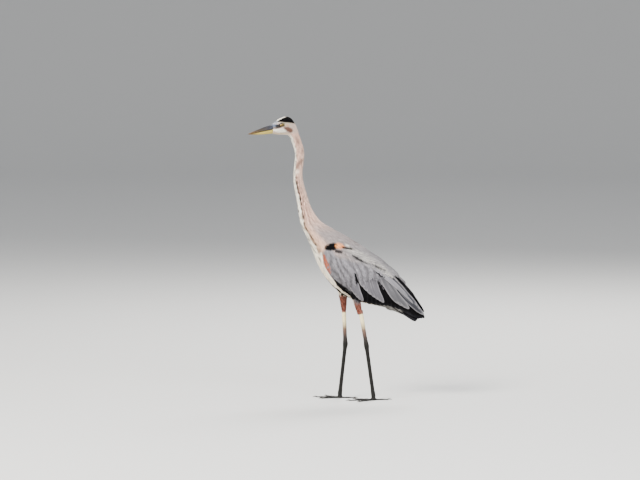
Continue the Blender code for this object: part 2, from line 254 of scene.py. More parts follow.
def paint_neck(lay, z, girth):
    """Dusky blotches on the upper neck with a painted highlight among them, and long dusky streaks
    on the lower.
    """
    blotch = np.sin(z * 88 + 1.9 * np.sin(girth * 9)) * np.sin(girth * 10 + 1.6 * np.sin(z * 47))
    upper = smooth(1.055, 1.03, z) * smooth(0.91, 0.94, z)
    lay("neck_shade", upper * smooth(0.15, 0.75, blotch) * 0.4)
    for middle, around, tall, wide, strength in NECK_BLOTCHES:
        far = np.hypot((z - middle - 0.03 * (girth - around)) / tall, (girth - around) / wide)
        far = far + 0.3 * np.sin(z * 700 + 4 * np.sin(girth * 17)) * np.sin(girth * 31 + z * 90)
        lay("neck_shade", smooth(1.3, 0.5, far) * strength)
    # A painted highlight among the blotches.
    middle, around, tall, wide, strength = NECK_HIGHLIGHT
    far = np.hypot((z - middle) / tall, (girth - around) / wide)
    lay("white", smooth(1.2, 0.6, far) * strength)
    lines = 0.6 + 0.4 * np.sin(girth * 58 + 5 * np.sin(z * 19 + 1.0))
    lower = smooth(0.912, 0.885, z) * smooth(0.64, 0.76, z) * smooth(0.2, 0.34, girth)
    lower = lower * (1 + 0.3 * smooth(0.83, 0.78, z))
    lay("neck_shade", lower * lines * smooth(0.9, 0.5, girth) * 0.74)


def paint_front(lay, side, y, z, girth):
    """The white line down the foreneck, with its dark streaks."""
    on_neck = smooth(1.075, 1.05, z) * smooth(-0.02, -0.06, y)
    wander = 0.02 * np.sin(z * 130) + 0.015 * np.sin(z * 310 + 1.7)
    edge = np.interp(z, [0.60, 0.67, 0.72, 0.80, 0.88, 1.0],
                     [0.20, 0.235, 0.28, 0.32, 0.28, 0.22])
    lay("white", on_neck * smooth(0.03, -0.03, girth + wander - edge))
    flecks = (np.sin(z * 620 + 40 * girth) > 0.1) * (np.sin(z * 171 + 3.0) > -0.45)
    upper = smooth(1.03, 1.0, z) * smooth(0.84, 0.90, z)
    lay("streak", on_neck * flecks * upper * band(girth, 0.19, 0.09, 0.04) * 0.75)
    step = z + np.where(side > 0, 0.013, 0.0) + 0.009 * np.sin(z * 61)
    broken = smooth(-0.9, -0.1, np.sin(step * 170 + 9 * girth) + 0.6 * np.sin(step * 391))
    below = smooth(0.93, 0.88, z) * smooth(0.575, 0.62, z) * broken
    aside = 0.06 + 0.015 * np.sin(step * 83)
    lay("streak", on_neck * below * band(girth, aside, 0.026, 0.015) * 0.9)
    beside = smooth(-1.3, -0.5, np.sin(z * 117 + 2.0) + 0.5 * np.sin(z * 301 + 9 * girth))
    wide = np.interp(z, [0.72, 0.80, 0.86, 0.89], [0.026, 0.042, 0.06, 0.066])
    lay("streak", on_neck * smooth(0.905, 0.885, z) * beside
        * band(girth, edge + 0.01 + wide, wide, 0.016) * 0.95)


def paint_belly(lay, side, x, y, z, girth):
    """White under the breast and belly between black bands, rusty thighs, a pale vent."""
    reach = np.interp(z, [0.46, 0.52, 0.56, 0.62], [0.44, 0.36, 0.28, 0.24])
    under = smooth(reach, reach - 0.1, girth) * smooth(-0.10, -0.06, y) * smooth(0.66, 0.62, z)
    lay("belly", under)
    step = z + np.where(side > 0, 0.017, 0.0)
    outer = smooth(0.76, 0.72, z) * smooth(0.50, 0.53, z) * smooth(-0.02, -0.05, y)
    outer = outer * smooth(-0.8, -0.2, np.sin(step * 143 + 5 * girth))
    lay("streak", outer * band(girth, 0.14 + 0.02 * np.sin(step * 57), 0.022, 0.014) * 0.75)
    lay("breast", outer * band(girth, 0.24 + 0.02 * np.sin(step * 71), 0.02, 0.018) * 0.7)
    wide = np.interp(y, [-0.06, 0.0, 0.03, 0.07], [0.0, 0.021, 0.022, 0.012])
    wide = wide + 0.003 * np.sin(y * 300 + 2 * np.sin(z * 170))
    outline = smooth(wide, wide - 0.004, x) * smooth(-0.06, -0.05, y) * smooth(0.075, 0.045, y)
    lay("black", outline * smooth(0.54, 0.52, z) * smooth(0.44, 0.34, girth))
    lay("vent", smooth(0.12, 0.17, y) * smooth(0.42, 0.34, girth) * smooth(0.44, 0.41, z))
    # Black on the bare skin at the end of the tail, where it shows between the dark quills:
    # painted shade.
    lay("black", smooth(0.255, 0.268, y) * smooth(0.006, 0.0, z - 0.395 + 0.6 * (y - 0.258)))
    leg = np.where(side > 0, 0.093, 0.026)
    thigh = band(y, leg, 0.026, 0.006) * smooth(0.420, 0.408, z) * smooth(0.010, 0.016, x)
    lay("thigh", thigh)
    lay("malar", thigh * smooth(0.0, 0.7, ragged(y, z)) * 0.7)
    lay("streak", thigh * smooth(0.1, 0.8, ragged(z, y)) * 0.45)


def paint_marks(lay, marks, y, z, where):
    """Lays a list of marks where the last mask allows."""
    for mark in marks:
        lay(mark.colour, stroke(y, z, mark.path, mark.widths, mark.soft) * where * mark.strength)


def paint_wing(lay, x, y, z):
    """Grey coverts with painted shade and a painted highlight, the rusty wrist edge, the
    shoulder's black and orange, and dark gaps.
    """
    on_wing = stroke(y, z, [(-34, 590), (-24, 560), (20, 510), (80, 470), (160, 450)],
                     [22, 30, 62, 82, 66], 8) * smooth(0.040, 0.052, x)
    lay("covert", on_wing)
    # Painted shade: the coverts darken towards the wing's lower edge.
    lower = smooth(-0.05, 0.13, 0.52 - z - 0.35 * y)
    # Directions across the coverts and down along them, for the streaks of painted shade between
    # them.
    across, down = 0.94 * y + 0.34 * z, 0.94 * z - 0.34 * y
    streaks = 0.5 + 0.5 * np.sin(across * 270 + 1.8 * np.sin(down * 52) + np.sin(across * 97))
    lay("covert_shade", on_wing * (0.75 * lower + 0.8 * streaks**2 * smooth(0.61, 0.57, z)))
    # A painted highlight in pale streaks along the plumes on the back's upper edge.
    plume_highlight = stroke(y, z, [(40, 612), (110, 575), (180, 527), (240, 466)], [8, 13, 13, 8], 8)
    lay("white", plume_highlight * (0.13 + 0.13 * np.sin(across * 120 + down * 900)))
    outer, near = smooth(0.034, 0.05, x), smooth(0.026, 0.036, x)

    paint_marks(lay, [SHOULDER], y, z, outer)
    worn = smooth(-0.9, -0.2, ragged(1.3 * z, 1.2 * y))
    lay("buff", stroke(y, z, [(4, 622), (13, 620), (21, 618)], [11, 10.5, 7], 4) * outer
        * (0.35 + 0.65 * worn))
    lay("rufous", stroke(y, z, [(12, 611), (25, 620), (34, 617)], [4, 5, 3], 3) * outer
        * smooth(-0.3, 0.4, ragged(z, y)) * 0.8)
    paint_marks(lay, SCAPULAR_MARKS, y, z, outer)

    white = [(-64, 592), (-58, 552), (-48, 516), (-24, 476), (10, 436), (34, 414)]
    lay("white", stroke(y, z, white, [2, 5, 9, 9, 7, 4], 4) * near * 0.95)
    frayed = [(-52, 582), (-49, 565), (-43, 546), (-35, 526), (-30, 516)]
    wrist = stroke(y, z, frayed, [4, 7.5, 11, 9, 5], 4) * outer
    lay("rufous", wrist * smooth(-0.75, -0.1, ragged(0.8 * y, 0.8 * z)))
    lay("thigh", wrist * smooth(0.1, 0.8, ragged(z, y)) * 0.7)
    flank = [(-8, 482), (8, 463), (32, 443), (50, 427), (64, 411)]
    lay("black", stroke(y, z, flank, [4, 9, 12, 12, 7], 2) * near)

    paint_marks(lay, GAP_MARKS, y, z, outer)
    under_quills = smooth(0.0, -0.02, z - 0.425 + 0.35 * (y - 0.1))
    lay("black", smooth(0.028, 0.036, x) * smooth(0.10, 0.13, y) * under_quills)


def paint_head(lay, x, y, z):
    """White face and crown, a black stripe over each eye, rusty ear coverts."""
    on_head = smooth(1.062, 1.074, z)
    lay("head_side", on_head)
    paint_marks(lay, FACE_MARKS, y, z, on_head)
    crown = stroke(y, z, [(-251, 1121), (-231, 1125.5), (-206, 1124), (-177, 1115)],
                   [7, 13, 14, 8.5], 2.5)
    lay("black", crown * np.maximum(smooth(0.004, 0.007, x), smooth(-0.226, -0.208, y)))
    lay("white", smooth(0.007, 0.004, x) * smooth(1.115, 1.122, z) * smooth(-0.208, -0.226, y))
    paint_marks(lay, EYE_MARKS, y, z, on_head)


# --- Meshes ----------------------------------------------------------------------------------


def make_mesh(name, vertices, faces, shades=None, material=None, bake=None, vane=None):
    """A smooth-shaded piece. shades holds a colour, and bake and vane a UV, for each vertex."""
    mesh = bpy.data.meshes.new(name)
    mesh.from_pydata(np.asarray(vertices).tolist(), [], np.asarray(faces).tolist()
                     if isinstance(faces, np.ndarray) else faces)
    mesh.shade_smooth()
    if shades is not None:
        rgba = np.ones((len(vertices), 4))
        rgba[:, :3] = np.clip(shades, 0, 1)
        layer = mesh.attributes.new("shade", "FLOAT_COLOR", "POINT")
        layer.data.foreach_set("color", rgba.ravel())
    corners = np.empty(len(mesh.loops), np.int32)
    mesh.loops.foreach_get("vertex_index", corners)
    for layer_name, uv in (("OFBake", bake), ("Vane", vane)):
        if uv is not None:
            layer = mesh.uv_layers.new(name=layer_name)
            layer.data.foreach_set("uv", np.asarray(uv)[corners].ravel())
    if material is not None:
        mesh.materials.append(material)
    obj = bpy.data.objects.new(name, mesh)
    bpy.context.scene.collection.objects.link(obj)
    return obj


def flipped(faces):
    """The same faces, seen from the other side."""
    return [tuple(reversed(face)) for face in faces]


def dress(obj, slot, *nodes):
    """Rides a finished piece on the bird and hides the nodes that it stands for. Its slot is not
    used.
    """
    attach(obj, "root")
    if nodes:
        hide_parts(*nodes)
    return obj


def tube_faces(rings, sides, first=0):
    """Quads between rings of points, and a flat face on each end."""
    faces = []
    for r in range(rings - 1):
        for i in range(sides):
            j = (i + 1) % sides
            a, b = first + r * sides, first + (r + 1) * sides
            faces.append((a + i, a + j, b + j, b + i))
    faces.append(tuple(first + i for i in reversed(range(sides))))
    faces.append(tuple(first + (rings - 1) * sides + i for i in range(sides)))
    return faces


def read_vectors(items, name):
    """One vector of each vertex of a mesh, as rows."""
    values = np.empty(len(items) * 3)
    items.foreach_get(name, values)
    return values.reshape(-1, 3)


def node_points(node):
    """A CAD node's vertices in world space."""
    return read_vectors(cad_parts[node].data.vertices, "co")


def remeshed(name, objects, voxel, rounds):
    """One closed mesh round all these objects, smoothed."""
    tool = bmesh.new()
    for obj in objects:
        tool.from_mesh(obj.data)
    mesh = bpy.data.meshes.new(name)
    tool.to_mesh(mesh)
    tool.free()
    obj = bpy.data.objects.new(name, mesh)
    bpy.context.scene.collection.objects.link(obj)
    remesh = obj.modifiers.new("remesh", "REMESH")
    remesh.mode = "VOXEL"
    remesh.voxel_size = voxel
    soften = obj.modifiers.new("soften", "SMOOTH")
    soften.factor = 0.5
    soften.iterations = rounds
    graph = bpy.context.evaluated_depsgraph_get()
    solid = bpy.data.meshes.new_from_object(obj.evaluated_get(graph))
    bpy.data.objects.remove(obj)
    bpy.data.meshes.remove(mesh)
    return solid


def mesh_arrays(mesh):
    """A mesh's points, normals and faces."""
    vertices = mesh.vertices
    faces = [tuple(p.vertices) for p in mesh.polygons]
    return read_vectors(vertices, "co"), read_vectors(vertices, "normal"), faces


# --- The bird's surfaces ---------------------------------------------------------------------

BODY_NODES = [
    "head", "neck_upper", "neck_middle", "neck_lower", "trunk", "wing_left", "wing_right",
    "flight_feathers_left", "flight_feathers_right", "tail", "thigh_left", "thigh_right",
]
LEG_NODES = [
    f"{part}_{side}" for side, _ in SIDES for part in ("shank", "tarsus", "foot")
] + [f"toe_{side}_{toe}" for side, _ in SIDES for toe in TOES]

# How deep the skin lies under the outside of the plumage, and how the small feathers of each
# zone grow: how far apart they root, then their length, half width and lift off the skin, all in
# millimetres; then how blunt their tips are, and how much they stray and vary in tone.
Zone = namedtuple("Zone", "depth spacing length half_width lift blunt stray vary")
ZONES = {
    "face": Zone(1.5, 1.6, 6.0, 1.05, 1.3, 0.35, 0.10, 0.05),
    "head": Zone(1.7, 2.0, 9.0, 1.35, 1.6, 0.35, 0.12, 0.06),
    "neck": Zone(3.2, 2.7, 17.0, 1.9, 3.2, 0.3, 0.15, 0.09),
    "breast": Zone(5.5, 3.8, 33.0, 3.0, 5.6, 0.15, 0.11, 0.08),
    "back": Zone(6.5, 4.2, 37.0, 3.5, 6.6, 0.25, 0.08, 0.10),
    "belly": Zone(6.0, 5.0, 32.0, 4.2, 6.2, 0.4, 0.13, 0.07),
    "thigh": Zone(4.0, 3.1, 17.0, 2.3, 4.2, 0.3, 0.16, 0.12),
    "wing": Zone(5.5, 4.3, 34.0, 3.9, 5.4, 0.5, 0.06, 0.13),
    "quill": Zone(5.0, 8.0, 30.0, 6.0, 2.2, 0.6, 0.06, 0.08),
}

# The end of the tail and the wings' lower edges are bare under their big feathers.
ZONES["tail"] = ZONES["bare"] = ZONES["quill"]


@cache
def node_tree():
    """A search tree over the body's CAD nodes, with the node of each face."""
    points, faces, names = [], [], []
    for node in BODY_NODES:
        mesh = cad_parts[node].data
        first = len(points)
        points += [tuple(v.co) for v in mesh.vertices]
        faces += [tuple(first + i for i in p.vertices) for p in mesh.polygons]
        names += [node] * len(mesh.polygons)
    return BVHTree.FromPolygons(points, faces), names


def zones_at(points, normals):
    """The plumage zone of each of these places on the body."""
    tree, names = node_tree()
    nodes = np.array([names[tree.find_nearest(Vector(p))[2]] for p in points])
    straight = unturned(points)
    x, y, z = np.abs(straight[:, 0]), straight[:, 1], straight[:, 2]
    _, _, height = along_spine(straight)
    on_back = np.arctan2(x, -height) > math.pi / 2
    zones = np.where(on_back, "back", np.where(y < 0.0, "breast", "belly"))
    zones = zones.astype("U8")
    zones[np.char.startswith(nodes, "neck")] = "neck"
    low_neck = np.char.startswith(nodes, "neck") & (z < 0.80 + 0.025 * ragged(x + 0.6 * y, z))
    zones[low_neck] = np.where(on_back, "back", "breast")[low_neck]
    zones[nodes == "head"] = "head"
    zones[(nodes == "head") & (y < -0.222) & (z < 1.118)] = "face"
    zones[np.char.startswith(nodes, "thigh")] = "thigh"
    on_wing = np.char.startswith(nodes, "wing")
    zones[on_wing] = "wing"
    quills = np.interp(y, [0.0, 0.06, 0.12, 0.20], [0.462, 0.490, 0.512, 0.520])
    zones[on_wing & (z < quills) & (y > 0.0)] = "quill"
    zones[np.char.startswith(nodes, "flight") | (nodes == "tail")] = "quill"
    zones[(nodes == "tail") & (y > 0.266)] = "tail"
    zones[(zones == "quill") & (nodes != "tail") & (normals[:, 2] < -0.3)] = "bare"
    return zones


@cache
def body_shell():
    """The outside of the plumage as one smooth surface: its points, normals and faces."""
    objects = [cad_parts[node] for node in BODY_NODES]
    mesh = remeshed("body_shell", objects, BODY_VOXEL, 4)
    shell = mesh_arrays(mesh)
    bpy.data.meshes.remove(mesh)
    return shell


def spread(values, faces, count, rounds):
    """Averages a value at each vertex with its neighbours'."""
    pairs = np.array([
        (a, b) for face in faces for a, b in zip(face, face[1:] + face[:1])
    ])
    for _ in range(rounds):
        total, share = values.copy(), np.ones(count)
        np.add.at(total, pairs[:, 0], values[pairs[:, 1]])
        np.add.at(share, pairs[:, 0], 1)
        values = total / share
    return values


@cache
def body_skin():
    """The skin under the plumage: its points and faces, and the zone of each point."""
    points, normals, faces = body_shell()
    zones = zones_at(points, normals)
    depths = np.array([ZONES[zone].depth for zone in zones]) * MM
    depths = spread(depths, faces, len(points), 8)
    skin = points - normals * depths[:, None]
    # The end of the tail is flattened, to hide between its feathers.
    flat = spread((zones == "tail") * 1.0, faces, len(points), 8)
    middle = np.interp(skin[:, 1], [0.25, 0.326], [0.371, 0.319]) - 0.65 * np.abs(skin[:, 0])
    skin[:, 2] += (middle - skin[:, 2]) * 0.7 * flat
    skin[:, 0] *= 1 - 0.25 * flat
    return skin, faces, zones


# --- Legs and feet ---------------------------------------------------------------------------


def end_centre(node, top):
    """The middle of a leg node's upper or lower end."""
    points = node_points(node)
    edge = points[:, 2].max() if top else points[:, 2].min()
    near = np.abs(points[:, 2] - edge) < 2.5 * MM
    return points[near].mean(0)


def leg_joints(side):
    """The knee, ankle and sole of one leg."""
    return [
        end_centre(f"shank_{side}", True),
        (end_centre(f"shank_{side}", False) + end_centre(f"tarsus_{side}", True)) / 2,
        end_centre(f"tarsus_{side}", False),
    ]


# Radii down the leg in millimetres: share of the way, front to back, side to side.
SHANK = [(-0.12, 9.8, 9.0), (0.0, 8.5, 7.6), (0.35, 8.0, 7.0), (0.78, 8.0, 6.9),
         (0.90, 9.2, 7.8), (0.97, 10.4, 8.6), (1.03, 10.3, 8.4)]
TARSUS = [(-0.03, 10.3, 8.4), (0.02, 10.0, 8.1), (0.06, 8.9, 7.4), (0.12, 7.8, 6.6),
          (0.5, 7.4, 6.2), (0.85, 7.6, 6.4), (0.95, 8.7, 7.8), (1.01, 9.3, 8.5)]
TOE_BONES = {"inner": 3, "middle": 4, "outer": 5, "hind": 2}
# The foot's pad: share of its height, and width as a share of its radius.
FOOT_ROWS = ((0.0, 0.86), (0.1, 0.97), (0.35, 1.0), (0.62, 0.84), (0.85, 0.66), (1.05, 0.6))
FOOT_RADIUS = 11.2 * MM
SOLE_Z = 0.25 * MM
# The big scales of leg and toes in millimetres: length and relief.
LEG_SCUTES = (6.2, 0.55)
TOE_SCUTES = (3.6, 0.42)
# The height at which each of the leg's colours is met.
LEG_STOPS = ((0.0, "foot"), (0.18, "tarsus"), (0.222, "tarsus"), (0.248, "ankle"),
             (0.28, "shank"), (0.318, "knee"), (0.60, "knee"))


def limb_mesh(tool, start, end, radii, sides=20):
    """Adds one length of a leg, closed at both ends, to a bmesh."""
    start, end = Vector(start), Vector(end)
    way = (end - start).normalized()
    across = way.cross(Vector((0, 1, 0))).normalized()
    fore = across.cross(way).normalized()
    rows = []
    for share, depth, breadth in radii:
        centre = start.lerp(end, share)
        rows.append([
            tool.verts.new(
                centre + fore * depth * MM * math.cos(a) + across * breadth * MM * math.sin(a)
            )
            for a in circle(sides)
        ])
    join_rows(tool, rows)


def join_rows(tool, rows):
    """Closes rows of a bmesh's vertices into a tube with flat ends."""
    for row, following in zip(rows, rows[1:]):
        for i in range(len(row)):
            j = (i + 1) % len(row)
            tool.faces.new((row[i], row[j], following[j], following[i]))
    tool.faces.new(rows[0])
    tool.faces.new(rows[-1])


def toe_axis(side, toe):
    """Where a toe starts and ends on the floor, and the end of its claw."""
    low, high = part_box(f"foot_{side}")
    palm = np.array([(low.x + high.x) / 2, (low.y + high.y) / 2])
    toe_ends = node_points(f"toe_{side}_{toe}")[:, :2] - palm
    claw_ends = node_points(f"claw_{side}_{toe}")[:, :2] - palm
    reach = np.linalg.norm(claw_ends, axis=1)
    way = claw_ends[reach.argmax()] / reach.max()
    along = toe_ends @ way
    return palm, way, along.min(), along.max(), reach.max()


def toe_mesh(tool, side, toe):
    """Adds a toe of padded joints, flat where it rests."""
    palm, way, first, last, _ = toe_axis(side, toe)
    bones = TOE_BONES[toe]
    across = np.array([way[1], -way[0]])
    rows, steps = [], 6 * bones
    for i in range(steps + 1):
        share = i / steps
        out = (first - 7 * MM) + (last - first + 6 * MM) * share
        pads = math.cos(2 * math.pi * bones * share)
        half_width = (3.7 - 1.25 * share) * MM * (1 + 0.13 * pads)
        height = (7.0 - 2.6 * share) * MM * (1 + 0.08 * pads)
        row = []
        for a in circle(12):
            z = max(SOLE_Z, height * (0.47 + 0.5 * math.sin(a)))
            x, y = palm + way * out + across * half_width * math.cos(a)
            row.append(tool.verts.new((x, y, z)))
        rows.append(row)
    join_rows(tool, rows)


def foot_mesh(tool, side):
    """Adds the pad where the toes meet, from the sole up to the lower leg."""
    low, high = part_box(f"foot_{side}")
    centre = (low + high) / 2
    rows = []
    for share, width in FOOT_ROWS:
        radius = width * FOOT_RADIUS
        rows.append([
            tool.verts.new((centre.x + math.cos(a) * radius, centre.y + math.sin(a) * radius,
                            SOLE_Z + share * high.z))
            for a in circle(20)
        ])
    join_rows(tool, rows)


def leg_surface():
    """Both legs from inside the thigh to the toes: points and faces, with raised scutes."""
    tool = bmesh.new()
    for side, _ in SIDES:
        knee, ankle, sole = leg_joints(side)
        limb_mesh(tool, knee, ankle, SHANK)
        limb_mesh(tool, ankle, sole, TARSUS)
        foot_mesh(tool, side)
        for toe in TOES:
            toe_mesh(tool, side, toe)
    bmesh.ops.recalc_face_normals(tool, faces=tool.faces)
    mesh = bpy.data.meshes.new("legs")
    tool.to_mesh(mesh)
    tool.free()
    rough = bpy.data.objects.new("legs", mesh)
    solid = remeshed("leg_surface", [rough], LEG_VOXEL, 2)
    bpy.data.objects.remove(rough)
    points, normals, faces = mesh_arrays(solid)
    bpy.data.meshes.remove(solid)
    points = points + normals * scute_height(points, normals)[:, None]
    points[:, 2] = np.maximum(points[:, 2], 0.05 * MM)
    return points, faces


def scutes(along, size, soft):
    """Rounded scales one after another, as heights over and under the surface."""
    length, relief = size
    saw = (along / length / MM) % 1.0
    return (smooth(0.0, soft, saw) * smooth(1.0, 1 - soft, saw) - 0.5) * relief * MM


def scute_height(points, normals):
    """Relief of the big scales down the front of each leg and along each toe's top."""
    height = np.zeros(len(points))
    for side, sign in SIDES:
        _, ankle, _ = leg_joints(side)
        lower = smooth(ankle[2] + 0.03, ankle[2] - 0.005, points[:, 2])
        on_leg = (points[:, 0] * sign > 0) * smooth(0.014, 0.022, points[:, 2]) * lower
        front = smooth(-0.1, 0.55, -normals[:, 1])
        height += on_leg * front * scutes(ankle[2] - points[:, 2], LEG_SCUTES, 0.25)
        for toe in TOES:
            palm, way, first, last, _ = toe_axis(side, toe)
            flat = points[:, :2] - palm
            along = flat @ way
            off = np.abs(flat @ np.array([way[1], -way[0]]))
            on_toe = (off < 5 * MM) & (along > first) & (along < last) & (points[:, 2] < 0.012)
            top = smooth(0.1, 0.6, normals[:, 2])
            height += on_toe * top * scutes(along, TOE_SCUTES, 0.3)
    return height


def leg_shades(points):
    """The leg's colours by height: cream under the feathers, then brown to near black."""
    legs = bpy.context.scene.heron_legs
    colours = np.array([getattr(legs, name)[:3] for _, name in LEG_STOPS])
    heights = [height for height, _ in LEG_STOPS]
    return np.stack([np.interp(points[:, 2], heights, colours[:, i]) for i in range(3)], 1)


# --- Small feathers --------------------------------------------------------------------------


def lie_at(points, zones):
    """The way that feathers point at each place, before it is laid on the surface."""
    straight = unturned(points)
    y, z = straight[:, 1], straight[:, 2]
    _, along, _ = along_spine(straight)
    ways = np.zeros((len(straight), 3))
    ways[:, 1:] = along
    steep = np.interp(y, [0.0, 0.06, 0.15, 0.25, 0.33], [71, 69, 58, 50, 45])
    near_back = smooth(-0.02, 0.03, z - (0.598 - 0.43 * y))
    dip = np.radians(steep + (42 - steep) * near_back)
    on_wing = np.isin(zones, ("wing", "quill")) & (z < 0.66)
    ways[on_wing] = np.stack([dip * 0, np.cos(dip), -np.sin(dip)], 1)[on_wing]
    ways[zones == "thigh"] = (0.0, 0.22, -0.975)
    angles = turn_at(straight[:, 2])
    out = ways.copy()
    out[:, 0] = -ways[:, 1] * np.sin(angles)
    out[:, 1] = ways[:, 1] * np.cos(angles)
    return out


def unwrap(points):
    """Each place on the skin laid flat: round the body across, and head to tail upwards."""
    straight = unturned(points)
    place, _, height = along_spine(straight)
    girth = np.arctan2(straight[:, 0], -height) / math.pi
    return np.stack([0.5 + 0.47 * girth, 0.02 + 0.96 * place], 1)


def bare_at(points):
    """True where no feather roots: the lores, round the eyes, and on the eyes themselves."""
    straight = unturned(points)
    y, z = straight[:, 1], straight[:, 2]
    lores = stroke(y, z, [(-290, 1098), (-268, 1100), (-250, 1102)], [9, 6.5, 4], 1) > 0.5
    eye = np.linalg.norm(straight - np.stack([np.sign(straight[:, 0]) * EYE[0],
                                              y * 0 + EYE[1], y * 0 + EYE[2]], 1), axis=1)
    return (lores & (z < 1.112) & (z > 1.088)) | (eye < 8.4 * MM)


def scattered(zone, side, rng):
    """Root places for one zone's feathers on one side (1 left, -1 right, 0 both)."""
    skin, faces, zones = body_skin()
    corners = np.array(faces)
    kept = zones[corners[:, 0]] == zone
    if side:
        kept &= skin[corners[:, 0], 0] * side > 0
    corners = corners[kept]
    a, b, c, d = (skin[corners[:, i]] for i in range(4))
    areas = np.linalg.norm(np.cross(c - a, d - b), axis=1) / 2
    spacing = ZONES[zone].spacing * MM / bpy.context.scene.heron_feathers.density
    tries = int(areas.sum() / spacing**2 * 5)
    pick = rng.choice(len(corners), tries, p=areas / areas.sum())
    u, v = rng.random((2, tries, 1))
    points = (a[pick] * (1 - u) + b[pick] * u) * (1 - v) + (d[pick] * (1 - u) + c[pick] * u) * v
    points = points[~bare_at(points)]
    taken, roots = {}, []
    for point, cell in zip(points, np.floor(points / spacing).astype(int)):
        i, j, k = cell
        near = [
            other
            for di in (-1, 0, 1) for dj in (-1, 0, 1) for dk in (-1, 0, 1)
            for other in taken.get((i + di, j + dj, k + dk), ())
        ]
        if near and ((np.array(near) - point)**2).sum(1).min() < spacing**2:
            continue
        taken.setdefault((i, j, k), []).append(point)
        roots.append(point)
    return np.array(roots)


def marched(roots, ways, lengths, steps):
    """Lines that follow the skin from each root, with the skin's normal along them."""
    tree, smooth_normals = skin_tree()
    lines = np.empty((len(roots), len(steps), 3))
    normals = np.empty_like(lines)
    for i, (root, way, length) in enumerate(zip(roots, ways, lengths)):
        point, way = Vector(root), Vector(way)
        for k, step in enumerate(steps):
            point = point + way * (step * length)
            near, _, face, _ = tree.find_nearest(point)
            normal = smooth_normals[face]
            way = (way - normal * way.dot(normal)).normalized()
            lines[i, k] = point = near
            normals[i, k] = normal
    return lines, normals


@cache
def skin_tree():
    """The skin as a search tree, with a smooth normal for each face."""
    skin, faces, _ = body_skin()
    means = body_shell()[1][np.array(faces)].mean(1)
    means /= np.linalg.norm(means, axis=1)[:, None]
    return BVHTree.FromPolygons(skin.tolist(), faces), [Vector(n) for n in means]


# Shares of the way from root to tip, and the half width there of a rounded and a pointed tip.
SMALL_ROWS = np.array([0.0, 0.3, 0.58, 0.8, 0.93, 1.0])
SMALL_ROUND = np.array([0.4, 0.88, 1.0, 0.93, 0.62, 0.16])
SMALL_RISE = np.array([0.0, 0.42, 0.72, 0.92, 0.99, 0.98])
SMALL_POINTED = np.array([0.4, 0.95, 0.88, 0.55, 0.25, 0.04])
# The outline of a feather cut across: places across it, and how high its two faces are there.
FINE_CUT = np.array([(-1, 0), (0, 1), (1, 0), (0, -1)], float)
BROAD_CUT = np.array([(-1, 0), (-0.8, 0.7), (0, 1), (0.8, 0.7), (1, 0), (0, -1)], float)


def growth(points, zone):
    """How much of its full size a feather has: those of breast and back shorten up the neck."""
    z = points[:, 2]
    if zone in ("breast", "back"):
        return np.interp(z, [0.64, 0.80], [1.0, 0.66])
    if zone == "neck":
        return np.interp(z, [0.80, 0.93], [1.3, 1.0])
    return np.ones(len(points))


ROOT_DEPTH = 0.0004  # how far a root sinks into the skin
PATCH_HALF = 0.0015  # half the size of a small feather's patch on the map


def feather_coat(name, zone, slot, side, seed):
    """One zone's small feathers as one mesh."""
    sizes = ZONES[zone]
    rng = np.random.default_rng(seed)
    roots = scattered(zone, side, rng)
    count = len(roots)
    zones = np.full(count, zone)
    ways = lie_at(roots, zones) + rng.normal(0, sizes.stray, (count, 3))
    grown = growth(roots, zone)
    lengths = sizes.length * MM * rng.uniform(0.86, 1.12, count) * grown
    steps = np.diff(SMALL_ROWS, prepend=0.0)
    lines, normals = marched(roots, ways, lengths, steps)
    tangents = np.gradient(lines, axis=1)
    tangents /= np.linalg.norm(tangents, axis=2)[..., None] + 1e-12
    across = np.cross(tangents, normals)
    across /= np.linalg.norm(across, axis=2)[..., None] + 1e-12
    lifts = sizes.lift * MM * rng.uniform(0.94, 1.04, count) * np.sqrt(grown)
    rise = lifts[:, None] * SMALL_RISE[None, :] - ROOT_DEPTH
    lines = lines + normals * rise[..., None]
    profile = SMALL_POINTED + (SMALL_ROUND - SMALL_POINTED) * sizes.blunt
    widths = sizes.half_width * MM * rng.uniform(0.88, 1.12, (count, 1)) * profile[None, :]
    widths = widths * np.sqrt(grown)[:, None]
    cut = FINE_CUT if sizes.half_width < 2.6 else BROAD_CUT
    thick = (0.1 + sizes.half_width * 0.025) * MM
    offsets = widths[..., None] * cut[None, None, :, 0]
    heights = thick * cut[None, None, :, 1] - 0.17 * widths[..., None] * cut[None, None, :, 0]**2
    vertices = (
        lines[:, :, None]
        + across[:, :, None] * offsets[..., None]
        + normals[:, :, None] * heights[..., None]
    )
    rows, sides = len(SMALL_ROWS), len(cut)
    shades = marked(lines.reshape(-1, 3)).reshape(count, rows, 3)
    tones = 1 + rng.normal(0, sizes.vary, (count, 1, 1))
    # Each feather darkens towards its root, partly its own greyer base and partly painted shade
    # under the feathers that overlap it, and pales a little at the tip.
    fade = np.interp(SMALL_ROWS, [0, 0.6, 0.9, 1.0], [0.82, 0.96, 1.02, 1.05])
    shades = shades * tones * fade[None, :, None]
    shades = np.repeat(shades[:, :, None], sides, axis=2)
    places = unwrap(roots)
    patch = np.stack(np.broadcast_arrays(cut[None, :, 0], SMALL_ROWS[:, None] * 2 - 1), -1)
    bake = places[:, None, None] + PATCH_HALF * patch[None]
    vane = np.broadcast_to(patch[None] * 0.5 + 0.5, bake.shape)
    pattern = tube_faces(rows, sides)
    faces = [
        tuple(first + i for i in face)
        for first in range(0, count * rows * sides, rows * sides)
        for face in pattern
    ]
    obj = make_mesh(name, vertices.reshape(-1, 3), faces, shades.reshape(-1, 3),
                    plumage_material("small_plumage", 9), bake.reshape(-1, 2),
                    vane.reshape(-1, 2))
    return dress(obj, slot)


# --- Big feathers ----------------------------------------------------------------------------

FIELD_STEP = 4.0 * MM
FIELD_LOW = np.array([-0.12, 0.28])
FIELD_HIGH = np.array([0.40, 0.70])


